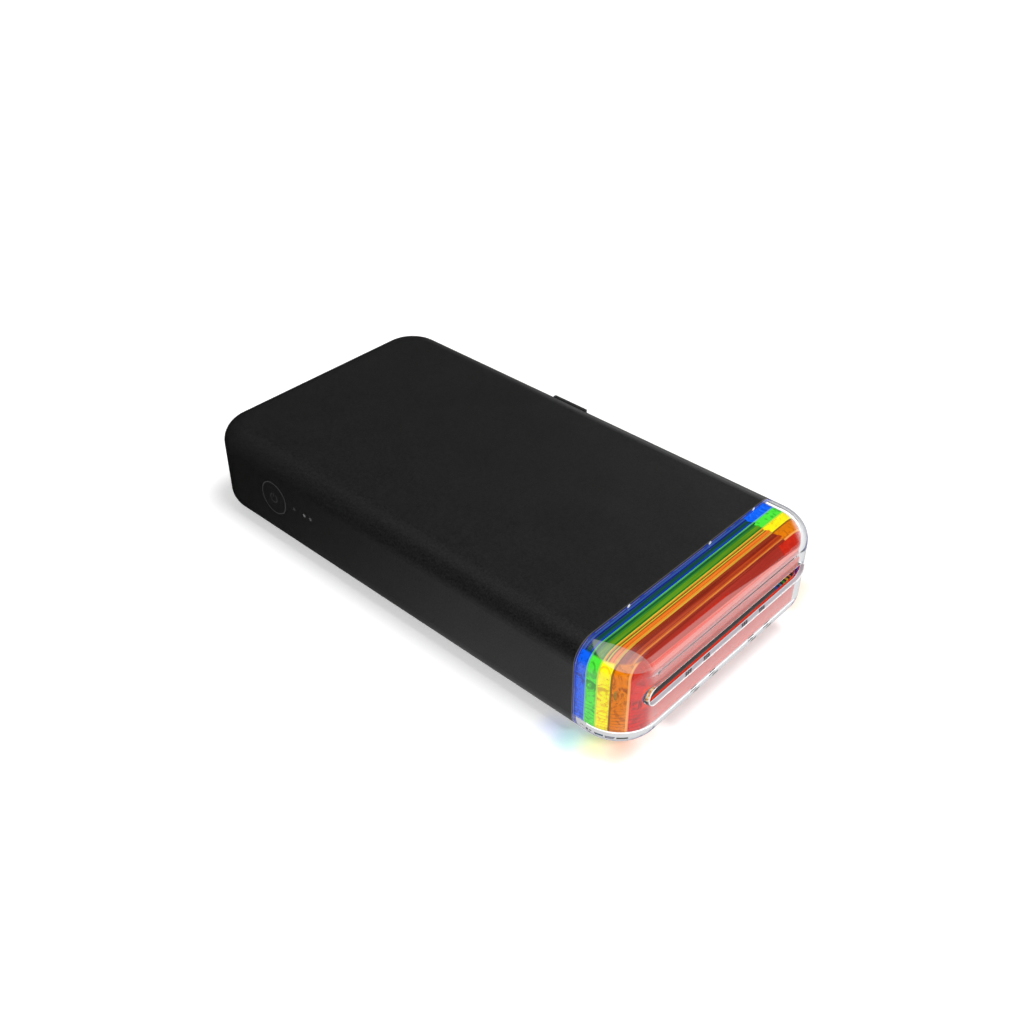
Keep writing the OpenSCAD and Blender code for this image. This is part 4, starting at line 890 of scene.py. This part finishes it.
def add_world():
    """White where it is looked at and dim as a lamp. In mirrors it is a dark studio with a softbox
    overhead and another low on the right."""
    world = scene.world = bpy.data.worlds.new("world")
    world.use_nodes = True
    f = Finish("world", world.node_tree)
    rays = RayKinds(f)
    lit = f.rise(rays.straight, 0, 1, AMBIENT, 1)
    towards_x, towards_y, up = f.split(f.vector("SCALE", f.place, scale=MM))
    overhead = f.times(f.rise(up, 0.7, 0.86), f.rise(towards_y, 0.7, 0.45))
    right = f.times(f.rise(towards_x, 0.72, 0.94), f.rise(up, 0.54, 0.3))
    studio = f.line(overhead, OVERHEAD_SHINE, DARK_STUDIO)
    studio = f.line(right, RIGHT_SHINE, studio)
    strength = f.mix_value(rays.mirrored, lit, studio)
    f.node("OutputWorld", {"Surface": f.node("Background", {"Color": WHITE, "Strength": strength})}, None)


# Each sun: where it stands, in metres, its strength and its width in degrees.
SUNS = {"key": ((0.06, -0.2, 0.5), 1.9, 26), "fill": ((-0.75, -0.55, 0.4), 1.5, 30)}
SUNS_FACE = Vector((0, 0, 0.02))


def add_lights():
    """Two wide suns. Mirrors and glass don't show them."""
    for name, (at, energy, width) in SUNS.items():
        data = bpy.data.lights.new(name, "SUN")
        data.energy, data.angle = energy, math.radians(width)
        lamp = add_object(name, data)
        lamp.location = at
        lamp.rotation_euler = (SUNS_FACE - Vector(at)).to_track_quat("-Z", "Y").to_euler()
        lamp.visible_glossy = lamp.visible_transmission = False


def set_bounces():
    """Enough for light that runs along inside the clear shell."""
    cycles = scene.cycles
    cycles.max_bounces = 20
    cycles.glossy_bounces = 14
    cycles.transmission_bounces = 20
    cycles.transparent_max_bounces = 16


# ---------- small pieces ----------

def add_piece(mesh, material, body="body"):
    piece = add_object(mesh.name, mesh)
    mesh.materials.append(material)
    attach(piece, body)
    return piece


def join(made, loop, following):
    """Faces from one closed loop of points to the next."""
    for i in range(len(loop)):
        j = (i + 1) % len(loop)
        made.faces.new((loop[i], loop[j], following[j], following[i]))


def mesh_of(made, name):
    bmesh.ops.recalc_face_normals(made, faces=made.faces)
    mesh = bpy.data.meshes.new(name)
    made.to_mesh(mesh)
    made.free()
    return mesh


CORNER_STEPS = 12


def rounded_outline(half_w, half_h, radius, middle_z):
    """Points of a rounded rectangle across the part, as (x, z)."""
    points = []
    for turn, (side_x, side_z) in enumerate(((1, 1), (-1, 1), (-1, -1), (1, -1))):
        for step in range(CORNER_STEPS + 1):
            angle = math.pi / 2 * (turn + step / CORNER_STEPS)
            points.append((side_x * (half_w - radius) + radius * math.cos(angle),
                           middle_z + side_z * (half_h - radius) + radius * math.sin(angle)))
    return points


def hoop(name, half_w, half_h, radius, middle_z, profile):
    """A closed band along a rounded rectangle. Its profile is a list of (how far inside, y)."""
    made = bmesh.new()
    loops = []
    for inset, y in profile:
        outline = rounded_outline(half_w - inset, half_h - inset, radius - inset, middle_z)
        loops.append([made.verts.new((x * MM, y * MM, z * MM)) for x, z in outline])
    for loop, following in zip(loops, loops[1:] + loops[:1]):
        join(made, loop, following)
    return mesh_of(made, name)


def strips(name, runs):
    """Thin closed strips. Each run is a list of loops of points, joined one to the next."""
    made = bmesh.new()
    for run in runs:
        loops = [[made.verts.new(Vector(point) * MM) for point in loop] for loop in run]
        for loop, following in zip(loops, loops[1:]):
            join(made, loop, following)
        made.faces.new(loops[0][::-1])
        made.faces.new(loops[-1])
    return mesh_of(made, name)


FILM_INSETS = (0.12, 1.55)
FILM_FROM, FILM_TO = 0.02, 0.06
FILM_LINES_OVER = 1.7
# Where the three painted white glints stand on the seam film.
SEAM_GLINT_XS = (-20.6, 10.9, 29.6)
SEAM_GLINT_Z = 26.7


def body_inset(f):
    """How far a place in section is inside the body's surface."""
    corner = (BODY_HALF_W - BODY_EDGE_R, 0, BODY_HALF_H - BODY_EDGE_R)
    centred = f.vector("ABSOLUTE", f.vector("SUBTRACT", f.place, (0, 0, BODY_MIDDLE_Z)))
    beyond = f.vector("MAXIMUM", f.vector("SUBTRACT", centred, corner), (0, 0, 0))
    across = f.vector("LENGTH", f.vector("MULTIPLY", beyond, (1, 0, 1)))
    return f.minus(BODY_EDGE_R, across)


def seam_film_finish():
    """Painted reflections at the end of the shell, glowing: bright and dark lines, with three painted white
    glints behind them.
    """
    f = Finish("seam_film")
    share = f.math("DIVIDE", body_inset(f), FILM_LINES_OVER)
    lines = f.ramp(share, [
        (0, rgb(22, 26, 50)), (0.34, rgb(26, 40, 120)), (0.5, rgb(132, 118, 206)),
        (0.66, rgb(44, 84, 160)), (0.84, rgb(26, 40, 140))], steps=True)
    plain = f.ramp(share, [(0, rgb(30, 34, 66)), (0.3, rgb(26, 52, 176)), (0.8, rgb(20, 40, 140))],
                   steps=True)
    breaks = f.rise(f.noise(3.5, detail=1, stretch=(1, 0, 0.3)), 0.44, 0.47)
    tone = f.mix(breaks, plain, lines)
    for glint_x in SEAM_GLINT_XS:
        out = f.vector("LENGTH", f.away_from((glint_x, 0, SEAM_GLINT_Z), (1.7, 0, 1.1)))
        tone = f.mix(f.rise(out, 1, 0.85), tone, grey(226))
    return f.finish(tone, 0.3, emission_color=tone, emission_strength=0.5)


def add_seam_film():
    # A thin sheet at the seam that carries the painted lines and glints.
    near, far = SEAM_Y - FILM_FROM, SEAM_Y - FILM_TO
    outer, inner = FILM_INSETS
    mesh = hoop("seam_film", BODY_HALF_W, BODY_HALF_H, BODY_EDGE_R, BODY_MIDDLE_Z,
                [(outer, near), (outer, far), (inner, far), (inner, near)])
    add_piece(mesh, seam_film_finish())


# The lip of the slot: where its pale lining starts at the front, shows the red plate and ends, and its
# strokes, which stand in groups of three columns and three rows.
LIP_FRONT_Y, LIP_RED_Y, LIP_BACK_Y = -74.8, -73.67, -73.42
STROKE_GROUP_XS = (-16.4, -9.3, 6.2, 13.6)
STROKE_YS = (-74.66, -74.36, -74.06)
STROKE_PITCH = 0.42


def slot_hoop(name, profile):
    return hoop(name, SLOT_HALF_W, SLOT_HALF_H, SLOT_HALF_H - 0.01, SLOT_Z, profile)


def lip_finish():
    """Lip of the slot: pale lilac painted as the light that the clear lip shows, between two white edges
    that are painted highlights, with four groups of short dark strokes, and red painted where the front
    plate shows through behind it."""
    f = Finish("slot_lip")
    cloud = f.noise(0.8, stretch=(0.2, 1, 1))
    tone = f.mix(cloud, rgb(186, 180, 190), rgb(214, 208, 216))
    front_edge = f.rise(f.y, -74.6, -74.65)
    back_edge = f.rise(f.y, LIP_RED_Y - 0.16, LIP_RED_Y - 0.12)
    # Painted highlights along both edges.
    tone = f.mix(f.either(front_edge, back_edge), tone, grey(248))
    for group_x in STROKE_GROUP_XS:
        for row, stroke_y in enumerate(STROKE_YS):
            from_middle = f.minus(f.x, group_x + row * STROKE_PITCH)
            to_stroke = f.math("ABSOLUTE", f.math("WRAP", from_middle, STROKE_PITCH, -STROKE_PITCH))
            stroke = f.times(f.rise(to_stroke, 0.38, 0.34),
                             f.within(from_middle, -3 * STROKE_PITCH, 3 * STROKE_PITCH, 0.04),
                             f.within(f.y, stroke_y - 0.12, stroke_y + 0.12, 0.02))
            tone = f.mix(stroke, tone, grey(2))
    # Red painted where the front plate shows through.
    tone = f.mix(f.rise(f.y, LIP_RED_Y - 0.01, LIP_RED_Y + 0.01), tone, rgb(224, 40, 2))
    return f.finish(tone, 0.35)


def add_slot_lip():
    """A lining on the shell's part of the slot, painted pale as the clear lip looks, and a white strip
    painted as the highlight of its polished edge.
    """
    lining = slot_hoop("slot_lip", [(0.02, LIP_FRONT_Y), (0.08, LIP_FRONT_Y),
                                    (0.08, LIP_BACK_Y), (0.02, LIP_BACK_Y)])
    add_piece(lining, lip_finish())
    edge = slot_hoop("slot_edge", [(0.02, -74.99), (0.12, -74.99), (0.24, -74.9),
                                   (0.24, -74.81), (0.02, -74.81)])
    f = Finish("slot_edge")
    add_piece(edge, f.finish(f.mix(f.noise(0.6), grey(236), grey(255)), 0.2))


CORNER_X, CORNER_Y = CORNER_R - BODY_HALF_W, FRONT_Y + CORNER_R
EDGE_Z = CASE_LOW.z + BODY_EDGE_R
RIM_DEPTH = 0.03
RIM_THICK = 0.04


def rim_loop(turn, x, low, high):
    """One loop of a strip in the bottom edge of the cap: turn is how far round the left corner it is in
    degrees, x its place along the front before the corner, low and high its angles below level."""
    a = math.radians(turn)
    out = Vector((-math.sin(a), -math.cos(a), 0))
    middle = Vector((x, CORNER_Y, EDGE_Z)) + out * (CORNER_R - BODY_EDGE_R)
    angles = (low, (low + high) / 2, high)
    loop = []
    for reach, turned in ((BODY_EDGE_R - RIM_DEPTH, angles),
                          (BODY_EDGE_R - RIM_DEPTH - RIM_THICK, angles[::-1])):
        for angle in turned:
            b = math.radians(angle)
            loop.append(middle + out * reach * math.cos(b) - Vector((0, 0, reach * math.sin(b))))
    return loop


FRONT_MARKS = (-12.4, -4.9, 11.3, 18.1)
FRONT_MARK_HALF_L = 1.1
FRONT_MARK_LOW, FRONT_MARK_HIGH = 9, 31
# Round the corner, marks of painted shade and colour, in degrees: where each mark starts and ends, and
# its angles below level.
CORNER_MARKS = [(38, 52, 14, 21), (53.5, 66, 13, 16), (55, 66, 18, 22), (68, 79, 12, 19), (83, 86, 11, 15),
                (88, 91, 10, 18), (93, 94, 9, 12), (95.5, 96.5, 8, 12), (98, 99, 9, 12)]
CORNER_MARK_STEPS = 6


def add_rim_marks():
    """Short dark marks in the clear edge along the bottom of the front, and round its corner marks of
    painted shade and colour.
    """
    runs = [[rim_loop(0, x + side * FRONT_MARK_HALF_L, FRONT_MARK_LOW, FRONT_MARK_HIGH) for side in (1, -1)]
            for x in FRONT_MARKS]
    for start, end, low, high in CORNER_MARKS:
        step = (end - start) / CORNER_MARK_STEPS
        runs.append([rim_loop(start + step * i, CORNER_X, low, high) for i in range(CORNER_MARK_STEPS + 1)])
    add_piece(strips("rim_marks", runs), rim_mark_finish())


def rim_mark_finish():
    """Dark painted shade, with what is left of the plates' colours on the corner."""
    f = Finish("rim_marks")
    patchy = f.noise(0.7)
    colours = [(0, rgb(70, 44, 34)), (0.03, rgb(20, 90, 120)), (0.19, rgb(36, 40, 110)),
               (0.43, grey(16))]
    tone = f.ramp(f.line(f.x, 1 / 5.3, 39.3 / 5.3), colours, steps=True)
    tone = f.mix(f.rise(patchy, 0.4, 0.6, 0, 0.8), tone, grey(20))
    return f.finish(tone, 0.7, specular_ior_level=0)


RIM_LINE_RIGHT_X = 29
RIM_LINE_ANGLES = (-4, 0)


def add_rim_line():
    """A glowing white strip painted as the bright line where the clear edge meets the plates, along the
    bottom.
    """
    run = [rim_loop(0, x, *RIM_LINE_ANGLES) for x in (RIM_LINE_RIGHT_X, 0)]
    run += [rim_loop(turn, CORNER_X, *RIM_LINE_ANGLES) for turn in range(0, 91, 5)]
    f = Finish("rim_line")
    tone = f.mix(f.noise(0.8, stretch=(1, 1, 0.2)), grey(228), grey(255))
    bright = f.finish(tone, 0.3, emission_color=tone, emission_strength=0.45)
    add_piece(strips("rim_line", [run]), bright)


SLOT_END_FROM, SLOT_END_SPAN, SLOT_END_STEPS = 104, 156, 14
SLOT_END_YS = (-74.7, -73.45)
SLOT_END_DEPTHS = (0.03, 0.07)


def add_slot_end():
    """A sleeve in the clear front, painted with the left end of the slot as it shows through: amber
    reflected light above, painted shade below.
    """
    y_near, y_far = SLOT_END_YS
    run = []
    for step in range(SLOT_END_STEPS + 1):
        a = math.radians(SLOT_END_FROM + SLOT_END_SPAN * step / SLOT_END_STEPS)
        (x0, z0), (x1, z1) = [(SLOT_HALF_H - SLOT_HALF_W + (SLOT_HALF_H + depth) * math.cos(a),
                               SLOT_Z + (SLOT_HALF_H + depth) * math.sin(a)) for depth in SLOT_END_DEPTHS]
        run.append([(x0, y_near, z0), (x0, y_far, z0), (x1, y_far, z1), (x1, y_near, z1)])
    f = Finish("slot_end")
    streaky = f.noise(0.9, warp=1.2, stretch=(1, 0.5, 1))
    ambers = [(0.3, rgb(150, 70, 10)), (0.5, rgb(236, 160, 30)), (0.62, rgb(250, 226, 180))]
    tone = f.mix(f.rise(f.z, 15.4, 15.1), f.ramp(streaky, ambers), rgb(36, 44, 46))
    add_piece(strips("slot_end", [run]), f.finish(tone, 0.3))


WIRE_R, WIRE_SIDES = 0.2, 8
COIL_TURNS, STEPS_PER_TURN = 4, 24


def coil(low, high):
    """The loops of an upright helix of wire that fills the box from low to high."""
    middle, radius = (low + high) / 2, (high.x - low.x) / 2 - WIRE_R
    steps = COIL_TURNS * STEPS_PER_TURN
    loops = []
    for i in range(steps + 1):
        a = math.tau * i / STEPS_PER_TURN
        out = Vector((math.cos(a), math.sin(a), 0))
        z = low.z + WIRE_R + (high.z - low.z - 2 * WIRE_R) * i / steps
        loop = []
        for k in range(WIRE_SIDES):
            b = math.tau * k / WIRE_SIDES
            place = middle + out * (radius + WIRE_R * math.cos(b))
            loop.append((place.x, place.y, z + WIRE_R * math.sin(b)))
        loops.append(loop)
    return loops


def add_latch_coil():
    """The latch's spring, as a coil of wire on the door in place of the latch_spring node."""
    low, high = millimetres("latch_spring")
    piece = add_piece(strips("latch_coil", [coil(low, high)]), spring_wire("latch_coil"),
                      body="door")
    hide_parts("latch_spring")
    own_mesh(piece)


add_camera()
add_floor()
add_world()
add_lights()
set_bounces()
dress_nodes()
add_seam_film()
add_slot_lip()
add_rim_marks()
add_rim_line()
add_slot_end()
add_latch_coil()
scene.view_settings.view_transform = "Standard"
